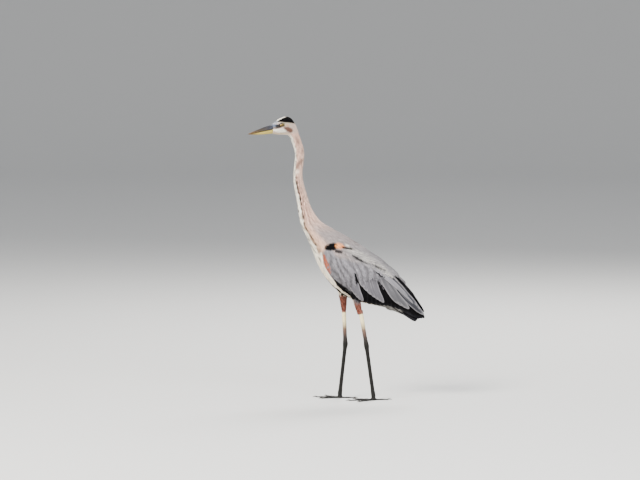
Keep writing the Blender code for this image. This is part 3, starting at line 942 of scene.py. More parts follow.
@cache
def side_field(sign):
    """How far out the plumage's side is over a grid of (y, z), carried on past its outline."""
    points, _, faces = body_shell()
    tree = BVHTree.FromPolygons(points.tolist(), faces)
    counts = np.round((FIELD_HIGH - FIELD_LOW) / FIELD_STEP).astype(int) + 1
    field = np.full(counts, np.nan)
    for i, j in np.ndindex(*counts):
        y, z = FIELD_LOW + np.array([i, j]) * FIELD_STEP
        hit = tree.ray_cast(Vector((sign * 0.3, y, z)), Vector((-sign, 0, 0)))[0]
        if hit is not None and hit.x * sign > 0.004:
            field[i, j] = hit.x * sign
    return filled(field)


def filled(field):
    """Carries a grid's known values into its empty cells, then softens it a little."""
    while np.isnan(field).any():
        padded = np.pad(field, 1, constant_values=np.nan)
        around = np.stack([
            padded[1 + di:1 + di + field.shape[0], 1 + dj:1 + dj + field.shape[1]]
            for di, dj in ((-1, 0), (1, 0), (0, -1), (0, 1))
        ])
        known = ~np.isnan(around)
        means = np.where(known, around, 0).sum(0) / np.maximum(known.sum(0), 1)
        fresh = np.isnan(field) & known.any(0)
        field = np.where(fresh, means, field)
    for _ in range(3):
        padded = np.pad(field, 1, mode="edge")
        field = (padded[:-2, 1:-1] + padded[2:, 1:-1] + padded[1:-1, :-2] + padded[1:-1, 2:]
                 + 2 * field) / 6
    return field


def read_field(field, places):
    """The grid's value at each of these (y, z) places, blended from the four cells round it."""
    cell = (places - FIELD_LOW) / FIELD_STEP
    cell = np.clip(cell, 0, np.array(field.shape) - 1.001)
    low = cell.astype(int)
    u, v = (cell - low)[..., 0], (cell - low)[..., 1]
    i, j = low[..., 0], low[..., 1]
    return (
        field[i, j] * (1 - u) * (1 - v) + field[i + 1, j] * u * (1 - v)
        + field[i, j + 1] * (1 - u) * v + field[i + 1, j + 1] * u * v
    )


VANE_ROWS = np.sin(np.linspace(0, 1, 18) * math.pi / 2)
VANE_TOP = np.array([-1, -0.9, -0.5, -0.09, 0, 0.09, 0.5, 0.9, 1])
VANE_CUT = np.concatenate([VANE_TOP, [0.6, 0.0, -0.6]])
VANE_HEIGHT = np.array([0, 0.6, 0.8, 0.8, 2.2, 0.8, 0.8, 0.6, 0, -0.6, -0.8, -0.6])

# A big feather in side view: where it roots and ends, how wide it is and how far its middle bows,
# how deep its root and tip lie under the outside of the plumage, and where its tip starts to
# round off. Millimetres, but for the last.
Vane = namedtuple("Vane", "root tip half_width bow depth_root depth_tip shoulder")

# A row of such feathers: the lines along which they root and end, how many they are, then what
# they share, with the depths of roots and tips as a pair, and their slot, colour and rim.
Row = namedtuple("Row", "roots tips count half_width bow depths shoulder slot tone rim")
BLACK = ("dark_plumage", "black", "black_rim")

# The folded wing's rows, the lowest layer first.
WING_ROWS = {
    "secondaries": Row([(66, 486), (118, 486), (170, 470), (206, 452)],
                       [(64, 408), (112, 391), (166, 381), (214, 377), (266, 359)],
                       13, 11, 4, (4.2, 1.9), 0.86, *BLACK),
    "primaries": Row([(196, 440), (214, 432), (236, 424)],
                     [(284, 346), (306, 335), (330, 325), (350, 327)],
                     7, 9.5, 5, (3.6, 1.5), 0.8, *BLACK),
    "upper_quills": Row([(210, 520), (238, 490), (266, 462)],
                        [(280, 448), (314, 408), (349, 352)],
                        5, 4.6, 2, (2.8, 0.9), 0.75, *BLACK),
    "lower_coverts": Row([(30, 528), (52, 514), (74, 502)],
                         [(48, 466), (62, 446), (76, 426), (90, 408), (103, 399)],
                         7, 8.0, -5, (3.4, 0.9), 0.78, "grey_plumage", "covert_low", "covert_rim"),
    "rear_coverts": Row([(88, 528), (116, 520), (146, 508)],
                        [(108, 458), (128, 434), (150, 416), (170, 402), (186, 393)],
                        7, 8.5, -6, (3.0, 0.7), 0.74, "grey_plumage", "covert_low", "covert_rim"),
    "tertials": Row([(172, 514), (180, 506), (196, 492)],
                    [(248, 388), (270, 374), (288, 366)],
                    4, 11, -6, (2.3, 0.4), 0.72, "grey_plumage", "tertial", "covert_rim"),
    "wing_tip": Row([(222, 492), (230, 466), (240, 444)],
                    [(320, 379), (336, 357), (348, 342)],
                    4, 10, -3, (2.4, 0.6), 0.7, "grey_plumage", "tip", "covert_rim"),
    "plumes": Row([(112, 562), (150, 540), (190, 512)],
                  [(226, 462), (262, 430), (304, 388)],
                  6, 5.5, 3, (1.6, 0.2), 0.55, "grey_plumage", "covert", "covert_rim"),
}


def fan(row):
    """A row's big feathers, spread evenly between its lines of root and tip places."""
    vanes = []
    for i in range(row.count):
        share = i / (row.count - 1)
        ends = []
        for line in (row.roots, row.tips):
            line = np.array(line, float)
            at = np.linspace(0, 1, len(line))
            ends.append([np.interp(share, at, line[:, k]) for k in range(2)])
        step = 0.12 * (i % 3)  # neighbours lie at slightly different depths
        vanes.append(Vane(*ends, row.half_width, row.bow, row.depths[0] + step,
                          row.depths[1] + step, row.shoulder))
    return vanes


def vane_vertices(vane, field, sign, rng):
    """A big feather's surface: rows from root to tip, each a closed cut across it."""
    root, tip = np.array(vane.root) * MM, np.array(vane.tip) * MM
    span = tip - root
    normal = np.array([-span[1], span[0]]) / np.linalg.norm(span)
    t = VANE_ROWS
    middle = root + span * t[:, None] + normal * (vane.bow * MM * 4 * t * (1 - t))[:, None]
    way = span + normal * (vane.bow * MM * 4 * (1 - 2 * t))[:, None]
    way /= np.linalg.norm(way, axis=1)[:, None]
    cross = np.stack([-way[:, 1], way[:, 0]], 1)
    end = np.clip((t - vane.shoulder) / (1 - vane.shoulder), 0, 1)
    width = vane.half_width * MM * (0.4 + 0.6 * smooth(0, 0.4, t)) * np.sqrt(1.02 - end**2)
    width = width * (1 + rng.normal(0, 0.012, len(t)))
    places = middle[:, None] + cross[:, None] * (width[:, None] * VANE_CUT)[..., None]
    depth = (vane.depth_root + (vane.depth_tip - vane.depth_root) * smooth(0, 0.7, t)) * MM
    x = read_field(field, places) - depth[:, None]
    x = x - 0.07 * width[:, None] * VANE_CUT**2 + 0.28 * MM * VANE_HEIGHT
    return np.concatenate([(x * sign)[..., None], places], -1)


def vane_shades(tone, rim, root_shade):
    """A big feather's colours: its own with a paler rim, and painted shade that darkens its root,
    where the feathers lie over one another.
    """
    edge = np.clip(smooth(0.62, 0.98, np.abs(VANE_CUT))[None, :] * 0.8
                   + smooth(0.86, 1.0, VANE_ROWS)[:, None] * 0.7, 0, 1)
    shaded = tone + (rim - tone) * edge[..., None]
    # Painted shade: the root darkens where the feathers lie over one another.
    return shaded * (1 - root_shade * smooth(0.55, 0.05, VANE_ROWS))[:, None, None]


def big_feathers(name, blocks, shades, across, slot, nodes=(), flip=False):
    """Joins big feathers into one mesh, each with a strip of its own on the map."""
    rows, columns, count = len(VANE_ROWS), len(VANE_CUT), len(blocks)
    grid = np.stack(np.broadcast_arrays(across[None] * 0.5 + 0.5, VANE_ROWS[:, None]), -1)
    faces, strips = [], []
    for i in range(count):
        faces += tube_faces(rows, columns, i * rows * columns)
        strips.append(grid * [0.9 / count, 0.96] + [(i + 0.05) / count, 0.02])
    obj = make_mesh(name, np.reshape(blocks, (-1, 3)), flipped(faces) if flip else faces,
                    np.reshape(shades, (-1, 3)), plumage_material("quill_plumage", 46),
                    np.reshape(strips, (-1, 2)), np.reshape([grid] * count, (-1, 2)))
    return dress(obj, slot, *nodes)


def lay_wing_row(name, row, side, sign):
    """One row of a folded wing's big feathers."""
    rng = np.random.default_rng(3)
    field = side_field(sign)
    blocks, shades = [], []
    for vane in fan(row):
        blocks.append(vane_vertices(vane, field, sign, rng))
        shade = vane_shades(tint(row.tone), tint(row.rim), 0.35)
        shades.append(shade * (1 + rng.normal(0, 0.06)))
    # The underside is laid slightly narrower on the map.
    across = np.where(np.arange(len(VANE_CUT)) < len(VANE_TOP), VANE_CUT, VANE_CUT * 0.9)
    nodes = [f"flight_feathers_{side}"] if name == "primaries" else []
    return big_feathers(f"{name}_{side}", blocks, shades, across, row.slot, nodes, sign > 0)


TAIL_PAIRS = 6


def tail_vertices(sign, rank):
    """One tail feather of a closed fan that slopes down to each side, the middle pair on top."""
    t = VANE_ROWS
    share = rank / (TAIL_PAIRS - 1)
    root = np.array([206, 408 - 5 * share]) * MM
    tip = np.array([326 - 6 * share, 327 - 3 * share]) * MM
    line = root + (tip - root) * t[:, None]
    up = np.array([root[1] - tip[1], tip[0] - root[0]])
    up /= np.linalg.norm(up)
    end = np.clip((t - 0.88) / 0.12, 0, 1)
    width = 10.5 * MM * (0.5 + 0.5 * smooth(0, 0.4, t)) * np.sqrt(1.02 - end**2)
    centre = sign * (3.5 + 15 * share * (0.6 + 0.4 * t)) * MM
    x = centre[:, None] + width[:, None] * VANE_CUT
    height = 0.25 * MM * VANE_HEIGHT - (0.8 - 0.3 * t)[:, None] * np.abs(x)
    rest = line[:, None] + up * height[..., None]
    return np.concatenate([x[..., None], rest], -1)


def lay_tail():
    """The tail's feathers, from the lowest outer pair to the middle pair on top."""
    blocks = [tail_vertices(sign, rank)
              for rank in reversed(range(TAIL_PAIRS)) for sign in (1, -1)]
    shades = [vane_shades(tint("tail"), tint("black_rim"), 0.3)] * len(blocks)
    return big_feathers("tail_feathers", blocks, shades, VANE_CUT, "dark_plumage", ["tail"])


# --- Bill, eyes, claws -----------------------------------------------------------------------

BILL_ROWS, BILL_SIDES = 60, 28
BILL_OUTSIDE = BILL_SIDES * 3 // 4  # so many sides lie outside, and the rest face the other half


def eye_middle():
    """The left eye's middle on the straight bird."""
    low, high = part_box("eye_left")
    return unturned([(low + high) / 2])[0]


EYE = eye_middle()
EYE_RADIUS = (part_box("eye_left")[1].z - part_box("eye_left")[0].z) / 2


def bill_sections(node):
    """A bill node's sections from tip to base: its place forward, bottom, top, half width."""
    points = unturned(node_points(node))
    points = points[points[:, 1].argsort()]
    breaks = np.flatnonzero(np.diff(points[:, 1]) > 0.4 * MM) + 1
    rows = []
    for ring in np.split(points, breaks):
        rows.append((ring[:, 1].mean(), ring[:, 2].min(), ring[:, 2].max(),
                     np.abs(ring[:, 0]).max()))
    return np.array(rows)


def bill_cut(upper):
    """A cut across one half of the bill: how far out, and how far from the cutting edge."""
    turn = np.linspace(-1, 1, BILL_OUTSIDE) * math.pi / 2
    rounding, flare = (0.9, 0.95) if upper else (0.75, 0.8)
    out = np.sin(turn)
    out = np.sign(out) * np.abs(out)**flare
    inner = np.linspace(0.8, -0.8, BILL_SIDES - BILL_OUTSIDE)
    return (np.concatenate([out, inner]),
            np.concatenate([np.cos(turn)**rounding, 0.12 * (1 - inner**2)]))


def nostril(y, base, up):
    """The groove that runs forward from each nostril, and the nostril's slit, as masks."""
    outside = np.arange(BILL_SIDES)[None] < BILL_OUTSIDE
    groove = np.exp(-((up[None] - 0.56) / 0.13)**2) * outside
    reach = smooth(base - 62 * MM, base - 25 * MM, y) * smooth(base, base - 4 * MM, y)
    slit = np.exp(-((up[None] - 0.54) / 0.06)**2) * outside
    slit = slit * smooth(base - 24 * MM, base - 18 * MM, y) \
        * smooth(base - 7 * MM, base - 12 * MM, y)
    return groove * reach, slit


def bill_half(name, node, upper, slot):
    """One half of the bill, lofted through the sections of its solid."""
    sections = bill_sections(node)
    tip, base = sections[0, 0], sections[-1, 0]
    # The rows crowd towards the tip, and the last lies under the face's feathers.
    y = tip + (base + 3 * MM - tip) * np.linspace(0, 1, BILL_ROWS)**1.15
    low, high, half = (np.interp(y, sections[:, 0], sections[:, k])[:, None] for k in (1, 2, 3))
    across, up = bill_cut(upper)
    x, rise = half * across, (high - low) * up
    z = low + rise if upper else high - rise
    along = (y - tip) / (base - tip)
    shades = bill_shades(along, up, upper)
    y = np.broadcast_to(y[:, None], x.shape)
    if upper:
        groove, slit = nostril(y, base, up)
        x = x - np.sign(x) * (groove * 0.9 + slit * 1.1) * MM
        # The slit is painted dark, as the shade inside the nostril.
        shades = shades * (1 - 0.95 * slit[..., None])
    vertices = turned(np.stack([x, y, z], -1).reshape(-1, 3))
    around = np.linspace(0, 1, BILL_SIDES)
    grid = np.stack(np.broadcast_arrays(around[None], along[:, None] * 0.97), -1)
    faces = tube_faces(BILL_ROWS, BILL_SIDES)
    obj = make_mesh(name, vertices, faces if upper else flipped(faces), shades.reshape(-1, 3),
                    bill_material("bill_horn"), vane=grid.reshape(-1, 2))
    return dress(obj, slot, node)


def bill_shades(along, up, upper):
    """Tan at the tip and slate towards the face, dark on the ridge and cutting edge."""
    colours = bpy.context.scene.heron_bill
    pick = {name: np.array(getattr(colours, name)[:3])
            for name in ("tip", "middle", "base", "ridge", "lower", "edge")}
    if upper:
        stops = (pick["tip"], pick["middle"], pick["base"])
    else:
        stops = (pick["tip"], pick["lower"], pick["lower"] * 0.92)
    run = np.stack([np.interp(along, [0.05, 0.5, 0.95], [c[k] for c in stops])
                    for k in range(3)], -1)
    out = np.repeat(run[:, None], len(up), 1)
    if upper:
        ridge = smooth(0.62, 0.95, up)[None] * smooth(0.08, 0.35, along)[:, None]
        out = out + (pick["ridge"] - out) * (ridge * 0.8)[..., None]
    edge = smooth(0.22, 0.06, up)[None] * smooth(0.0, 0.1, along)[:, None]
    return out + (pick["edge"] - out) * (edge * 0.8)[..., None]


def eye_frame(sign):
    """The eye's middle, and its outward, upward and forward directions in the world."""
    out = np.array([sign * 0.945, -0.32, -0.05])
    out /= np.linalg.norm(out)
    up = np.array([0, 0, 1.0]) - out * out[2]
    up /= np.linalg.norm(up)
    axis = np.array([0.0, HEAD_AXIS_Y, EYE[2]])
    ways = [rotated(axis + way, HEAD_YAW)[0] - axis for way in (out, up, np.cross(up, out))]
    return turned(EYE * [sign, 1, 1])[0], *ways


def revolved(profile, sign, segments, squash=0.0):
    """A form turned about the eye's axis, and its angles round it.

    The profile is degrees off the axis and radius in millimetres. squash flattens the form
    from above and below.
    """
    centre, out, up, fore = eye_frame(sign)
    profile = np.array(profile, float)
    around = np.linspace(0, 2 * math.pi, segments, endpoint=False)
    theta = np.radians(profile[:, :1]) * (1 - squash * np.abs(np.sin(around))[None]**1.5)
    radius = profile[:, 1:2] * MM
    rim = np.cos(around)[None, :, None] * fore + np.sin(around)[None, :, None] * up
    points = centre + radius[..., None] * (np.cos(theta)[..., None] * out
                                           + np.sin(theta)[..., None] * rim)
    return points, around


# Degrees off the eye's axis: round the pupil's edge, where the iris darkens, round its edge.
PUPIL_EDGE, IRIS_RIM, IRIS_EDGE = (24.5, 23.0), (32, 48), (48, 51)


EYE_SIDES, LID_SIDES = 64, 72


def eye(side, sign):
    """An eyeball with a raised cornea, a yellow iris and a black pupil."""
    colours = bpy.context.scene.heron_eye
    degrees = np.concatenate([np.linspace(0.3, 60, 44), np.linspace(66, 179.7, 16)])
    radius = EYE_RADIUS / MM * (1 + 0.05 * smooth(48, 12, degrees))
    points, around = revolved(np.stack([degrees, radius], 1), sign, EYE_SIDES)
    iris, rim, dark = (np.array(c[:3]) for c in (colours.iris, colours.iris_rim, colours.pupil))
    spokes = 1 + 0.16 * np.sin(around * 37 + 2 * np.sin(around * 5))[None] \
        * smooth(20, 30, degrees)[:, None]
    ring = smooth(*IRIS_RIM, degrees)[:, None, None]
    shades = (iris * (1 - ring) + rim * ring) * spokes[..., None]
    hidden = np.maximum(smooth(*PUPIL_EDGE, degrees), smooth(*IRIS_EDGE, degrees))
    hidden = hidden[:, None, None]
    shades = shades * (1 - hidden) + dark * hidden
    faces = tube_faces(len(degrees), EYE_SIDES)
    if sign < 0:
        faces = flipped(faces)
    obj = make_mesh(f"eyeball_{side}", points.reshape(-1, 3), faces, shades.reshape(-1, 3),
                    eye_material("wet_eye"))
    return dress(obj, "eye", f"eye_{side}")


# The eyelid's closed profile: degrees off the axis, and radius in millimetres.
LID = [(48.5, 7.6), (49.0, 7.95), (51.5, 8.3), (55.5, 8.5), (61, 8.4), (68, 8.0), (78, 7.2),
       (92, 6.0), (72, 6.6), (54, 7.3)]


def eyelid(side, sign):
    """A wrinkled bare ring that closes round the eyeball."""
    points, around = revolved(LID, sign, LID_SIDES, squash=0.13)
    centre = eye_frame(sign)[0]
    every_other = (np.arange(len(LID)) % 2)[:, None, None]
    ripple = 1 + 0.006 * np.sin(around * 24)[None, :, None] * every_other
    points = centre + (points - centre) * ripple
    colour = np.array(bpy.context.scene.heron_eye.lid[:3])
    shades = np.broadcast_to(colour, points.shape).copy()
    shades[:2] *= 0.35
    faces = []
    for row in range(len(LID)):
        here, there = row * LID_SIDES, (row + 1) % len(LID) * LID_SIDES
        faces += [(here + i, here + j, there + j, there + i)
                  for i, j in zip(range(LID_SIDES), (*range(1, LID_SIDES), 0))]
    if sign < 0:
        faces = flipped(faces)
    obj = make_mesh(f"eyelid_{side}", points.reshape(-1, 3), faces, shades.reshape(-1, 3),
                    skin_material("bare_skin"))
    return dress(obj, "grey_plumage")


CLAW_ROWS, CLAW_SIDES = 16, 14


def claws(side):
    """The four curved claws of one foot."""
    vertices, faces = [], []
    for toe in TOES:
        palm, way, _, last, reach = toe_axis(side, toe)
        across = np.array([way[1], -way[0]])
        start = last - 3.5 * MM
        faces += tube_faces(CLAW_ROWS, CLAW_SIDES, len(vertices))
        for i in range(CLAW_ROWS):
            t = i / (CLAW_ROWS - 1)
            out = start + (reach - start) * t
            z = (3.4 * (1 - t)**2 + 2 * t * (1 - t) * 5.4 + 0.75 * t * t) * MM
            radius = (2.35 * (1 - t)**0.8 + 0.28) * MM
            for a in circle(CLAW_SIDES):
                x, y = palm + way * out + across * radius * 0.8 * math.cos(a)
                vertices.append((x, y, max(0.1 * MM, z + radius * math.sin(a))))
    obj = make_mesh(f"claws_{side}", vertices, faces, material=claw_material("claw_horn"))
    return dress(obj, "claw", *(f"claw_{side}_{toe}" for toe in TOES))


# --- Skin ------------------------------------------------------------------------------------


def joined_skin():
    """Body and legs as one closed surface."""
    body_points, body_faces, _ = body_skin()
    leg_points, leg_faces = leg_surface()
    body = make_mesh("skin", body_points, body_faces)
    legs = make_mesh("leg_part", leg_points, leg_faces)
    union = body.modifiers.new("legs", "BOOLEAN")
    union.operation = "UNION"
    union.solver = "MANIFOLD"
    union.object = legs
    graph = bpy.context.evaluated_depsgraph_get()
    solid = bpy.data.meshes.new_from_object(body.evaluated_get(graph))
    if not len(solid.vertices) > max(len(body_points), len(leg_points)):
        raise RuntimeError("the legs did not join the body's skin")
    for obj in (body, legs):
        mesh = obj.data
        bpy.data.objects.remove(obj)
        bpy.data.meshes.remove(mesh)
    points, _, faces = mesh_arrays(solid)
    bpy.data.meshes.remove(solid)
    return points, faces


def skin():
    """The bird's skin from face to toes, marked as its feathers are."""
    points, faces = joined_skin()
    # Bare below the thigh feathers' hem, apart from the tail, which hangs lower than that.
    on_leg = (smooth(0.350, 0.343, points[:, 2]) * smooth(0.19, 0.17, points[:, 1]))[:, None]
    on_leg = np.where(points[:, 2:] < 0.30, 1.0, on_leg)
    shades = marked(points) * 0.8 * (1 - on_leg) + leg_shades(points) * on_leg
    obj = make_mesh("skin", points, faces, shades, skin_material("bare_skin"))
    layer = obj.data.attributes.new("scaly", "FLOAT", "POINT")
    layer.data.foreach_set("value", on_leg[:, 0])
    return dress(obj, "lilac_plumage", *(n for n in BODY_NODES if not n.startswith("flight")
                                         and n != "tail"), *LEG_NODES)


# --- Materials -------------------------------------------------------------------------------


def new_group(name, inputs, outputs):
    """A shader node group with these named numbers in and out."""
    group = bpy.data.node_groups.new(name, "ShaderNodeTree")
    for label, value in inputs.items():
        socket = group.interface.new_socket(label, in_out="INPUT", socket_type="NodeSocketFloat")
        socket.default_value = value
    for label in outputs:
        group.interface.new_socket(label, in_out="OUTPUT", socket_type="NodeSocketFloat")
    return group, group.nodes.new("NodeGroupInput"), group.nodes.new("NodeGroupOutput")


def maths(tree, operation, *values):
    """A Math node. Each value is a number or a socket."""
    node = tree.nodes.new("ShaderNodeMath")
    node.operation = operation
    for socket, value in zip(node.inputs, values):
        if isinstance(value, (int, float)):
            socket.default_value = value
        else:
            tree.links.new(value, socket)
    return node.outputs[0]


def texture(tree, kind, scale, detail=None, vector=None):
    """A texture, over the piece's own coordinates unless it is given others."""
    node = tree.nodes.new(kind)
    node.inputs["Scale"].default_value = scale
    if detail is not None:
        node.inputs["Detail"].default_value = detail
    if vector is None:
        vector = tree.nodes.new("ShaderNodeTexCoord").outputs["Object"]
    tree.links.new(vector, node.inputs["Vector"])
    return node


def noise(tree, scale, detail=None, vector=None):
    """A noise texture's value."""
    return texture(tree, "ShaderNodeTexNoise", scale, detail, vector).outputs["Fac"]


def vane_map(tree):
    """The map that runs across and along each feather or half of the bill."""
    node = tree.nodes.new("ShaderNodeUVMap")
    node.uv_map = "Vane"
    return node.outputs["UV"]


def kept(make):
    """Lets a function that makes a named material return the one there is, if any."""

    @wraps(make)
    def get(name, *rest):
        return bpy.data.materials.get(name) or make(name, *rest)

    return get


def barbs_group():
    """Barbs slanting off a shaft: how light each place is, and how high."""
    if "Feather barbs" in bpy.data.node_groups:
        return bpy.data.node_groups["Feather barbs"]
    group, source, sink = new_group(
        "Feather barbs", {"Barbs": 20.0, "Contrast": 0.1, "Shaft": 0.1}, ("Tone", "Height"))

    def of(operation, *values):
        return maths(group, operation, *values)

    split = group.nodes.new("ShaderNodeSeparateXYZ")
    group.links.new(vane_map(group), split.inputs[0])
    off = of("MULTIPLY", of("ABSOLUTE", of("SUBTRACT", split.outputs["X"], 0.5)), 2.0)
    mottle, clump = noise(group, 240.0, 3.0), noise(group, 26.0, 2.0)
    slant = of("SUBTRACT", split.outputs["Y"], of("MULTIPLY", off, 0.22))
    phase = of("ADD", of("MULTIPLY", slant, source.outputs["Barbs"]), of("MULTIPLY", mottle, 1.4))
    wave = of("SINE", of("MULTIPLY", phase, 2 * math.pi))
    shaft = of("GREATER_THAN", 0.05, off)
    contrast = of("MULTIPLY", source.outputs["Contrast"], 0.5)
    tone = of("ADD", 1.0, of("MULTIPLY", wave, contrast))
    tone = of("SUBTRACT", tone, of("MULTIPLY", shaft, source.outputs["Shaft"]))
    clumps = of("MULTIPLY", of("SUBTRACT", clump, 0.5), 0.30)
    specks = of("MULTIPLY", of("SUBTRACT", mottle, 0.5), 0.24)
    tone = of("ADD", tone, of("ADD", clumps, specks))
    height = of("ADD", of("MULTIPLY", wave, 0.5), of("MULTIPLY", shaft, 1.2))
    group.links.new(tone, sink.inputs["Tone"])
    group.links.new(height, sink.inputs["Height"])
    return group


def new_material(name, roughness, specular=0.5, coat=0.0):
    """A material, with its node tree and its surface."""
    material = bpy.data.materials.new(name)
    material.use_nodes = True
    surface = material.node_tree.nodes["Principled BSDF"]
    surface.inputs["Roughness"].default_value = roughness
    surface.inputs["Specular IOR Level"].default_value = specular
    surface.inputs["Coat Weight"].default_value = coat
    return material, material.node_tree, surface


def shaded_material(name, roughness, specular, coat=0.0):
    """A material whose colour starts from each piece's own shades."""
    material, tree, surface = new_material(name, roughness, specular, coat)
    shade = tree.nodes.new("ShaderNodeAttribute")
    shade.attribute_name = "shade"
    return material, tree, surface, shade.outputs["Color"]


def toned(tree, colour, tone, surface):
    """Multiplies a colour by a tone into the surface's base colour."""
    mix = tree.nodes.new("ShaderNodeVectorMath")
    mix.operation = "SCALE"
    tree.links.new(colour, mix.inputs[0])
    tree.links.new(tone, mix.inputs["Scale"])
    tree.links.new(mix.outputs[0], surface.inputs["Base Color"])


def speckled(tree, value, dark, light, surface):
    """Colours a surface between two colours by a value."""
    ramp = tree.nodes.new("ShaderNodeValToRGB")
    for element, colour in zip(ramp.color_ramp.elements, (dark, light)):
        element.color = (*colour, 1)
    tree.links.new(value, ramp.inputs["Fac"])
    tree.links.new(ramp.outputs["Color"], surface.inputs["Base Color"])


def bumped(tree, height, surface, distance, strength=0.6):
    """Raises a surface's fine grain by a height."""
    bump = tree.nodes.new("ShaderNodeBump")
    bump.inputs["Distance"].default_value = distance
    bump.inputs["Strength"].default_value = strength
    tree.links.new(height, bump.inputs["Height"])
    tree.links.new(bump.outputs["Normal"], surface.inputs["Normal"])


@kept
def plumage_material(name, barbs):
    """Feathers with so many barbs from root to tip."""
    material, tree, surface, colour = shaded_material(name, 0.8, 0.02)
    group = tree.nodes.new("ShaderNodeGroup")
    group.node_tree = barbs_group()
    group.inputs["Barbs"].default_value = barbs
    group.inputs["Contrast"].default_value = 0.16
    group.inputs["Shaft"].default_value = 0.16
    toned(tree, colour, group.outputs["Tone"], surface)
    bumped(tree, group.outputs["Height"], surface, 0.0002)
    return material


@kept
def skin_material(name):
    """Bare skin, with small scales on the legs."""
    material, tree, surface, colour = shaded_material(name, 0.55, 0.12)
    cells = texture(tree, "ShaderNodeTexVoronoi", 520.0)
    cells.feature = "DISTANCE_TO_EDGE"
    scaly = tree.nodes.new("ShaderNodeAttribute")
    scaly.attribute_name = "scaly"
    on_leg, grain = scaly.outputs["Fac"], noise(tree, 160.0, 4.0)
    plate = maths(tree, "MINIMUM", maths(tree, "MULTIPLY", cells.outputs["Distance"], 6.0), 1.0)
    plate = maths(tree, "MULTIPLY", plate, on_leg)
    # Painted shade in the creases between the leg's scales.
    crease_shade = maths(tree, "MULTIPLY", maths(tree, "SUBTRACT", plate, on_leg), 0.35)
    tone = maths(tree, "ADD", 0.72, maths(tree, "MULTIPLY", grain, 0.56))
    toned(tree, colour, maths(tree, "ADD", tone, crease_shade), surface)
    height = maths(tree, "ADD", plate, maths(tree, "MULTIPLY", grain, 0.4))
    bumped(tree, height, surface, 0.0004)
    return material


@kept
def bill_material(name):
    """Horn with fine lines along it."""
    material, tree, surface, colour = shaded_material(name, 0.45, 0.12, coat=0.02)
    stretch = tree.nodes.new("ShaderNodeMapping")
    stretch.inputs["Scale"].default_value = (46.0, 3.5, 1.0)
    tree.links.new(vane_map(tree), stretch.inputs["Vector"])
    lines = noise(tree, 1.0, 4.0, stretch.outputs[0])
    toned(tree, colour, maths(tree, "ADD", 0.7, maths(tree, "MULTIPLY", lines, 0.6)), surface)
    bumped(tree, lines, surface, 0.0003, 0.5)
    return material


@kept
def eye_material(name):
    """A wet, flecked eye."""
    material, tree, surface, colour = shaded_material(name, 0.06, 0.3, coat=0.3)
    flecks = maths(tree, "MULTIPLY", noise(tree, 1500.0), 0.4)
    toned(tree, colour, maths(tree, "ADD", 0.8, flecks), surface)
    return material


@kept
def claw_material(name):
    """Dark horn, worn paler in places."""
    material, tree, surface = new_material(name, 0.45, 0.15)
    wear = noise(tree, 320.0, 4.0)
    speckled(tree, wear, (0.006, 0.0055, 0.005), (0.036, 0.029, 0.023), surface)
    bumped(tree, wear, surface, 0.0002)
    return material


def floor_material():
    """Pale studio floor, faintly mottled."""
    material, tree, surface = new_material("studio_floor", 0.9)
    mottle = tree.nodes.new("ShaderNodeTexNoise")
    mottle.inputs["Scale"].default_value = 3.0
    speckled(tree, mottle.outputs["Fac"], (0.40, 0.40, 0.39), (0.44, 0.44, 0.43), surface)
    return material


# --- Sizes and colours a user would change ---------------------------------------------------


def colour_property(label, description, value):
    return FloatVectorProperty(name=label, description=description, subtype="COLOR", size=4,
                               min=0.0, max=1.0, default=(*value, 1.0))


class HeronPlumage(bpy.types.PropertyGroup):
    """Colours of the feathers."""

    neck: colour_property("Neck", "Sides of the neck", (0.66, 0.43, 0.335))
    nape: colour_property("Nape", "Back of the neck", (0.6, 0.43, 0.35))
    neck_shade: colour_property("Neck shade", "Browner stretch of the neck", (0.19, 0.112, 0.085))
    mantle: colour_property("Mantle", "Base of the neck and shoulders", (0.205, 0.176, 0.17))
    scapular: colour_property("Scapulars", "Pale plumes along the back", (0.168, 0.16, 0.163))
    breast: colour_property("Breast", "Sides of the breast", (0.4, 0.26, 0.175))
    white: colour_property("White", "Front of the neck, cheeks and crown", (0.84, 0.79, 0.67))
    streak: colour_property("Streaks", "Dark streaks down the foreneck", (0.028, 0.021, 0.02))
    belly: colour_property("Belly", "Underparts", (0.78, 0.68, 0.54))
    black: colour_property("Black", "Crown stripe, shoulder and flanks", (0.003, 0.0028, 0.0031))
    black_rim: colour_property("Black's rim", "Worn rims of black quills", (0.012, 0.0115, 0.0135))
    vent: colour_property("Vent", "Under the tail", (0.16, 0.152, 0.14))
    rufous: colour_property("Rust", "Wrist edge", (0.31, 0.088, 0.052))
    thigh: colour_property("Thighs", "Rusty thigh feathers", (0.19, 0.058, 0.04))
    buff: colour_property("Buff", "Orange patch at the shoulder", (0.67, 0.27, 0.1))
    covert: colour_property("Coverts", "Grey of the folded wing", (0.172, 0.165, 0.178))
    covert_rim: colour_property("Coverts' rim", "Pale rims of grey quills", (0.23, 0.218, 0.226))
    # Painted shade on the lower wing and in streaks between the coverts.
    covert_shade: colour_property("Covert shade", "Darker lower coverts", (0.07, 0.066, 0.07))
    covert_low: colour_property("Lower coverts", "Long coverts", (0.1, 0.095, 0.105))
    tertial: colour_property("Tertials", "Long grey inner quills", (0.085, 0.083, 0.088))
    tip: colour_property("Wing tip", "Blue-grey end of the wing", (0.036, 0.036, 0.041))
    tail: colour_property("Tail", "Tail quills", (0.018, 0.017, 0.019))
    head_side: colour_property("Side of head", "Behind the cheek", (0.56, 0.43, 0.36))
    chin: colour_property("Chin", "Under the bill", (0.48, 0.42, 0.215))
    malar: colour_property("Ear coverts", "Rusty patch behind the cheek", (0.165, 0.088, 0.066))
    forehead: colour_property("Forehead", "Blue-white brow of the head", (0.4, 0.4, 0.42))
    olive: colour_property("Olive", "Behind the eye", (0.13, 0.105, 0.042))
    brow: colour_property("Brow", "Pale line over the eye", (0.46, 0.4, 0.31))
    lores: colour_property("Lores", "Bare skin before the eye", (0.085, 0.1, 0.14))


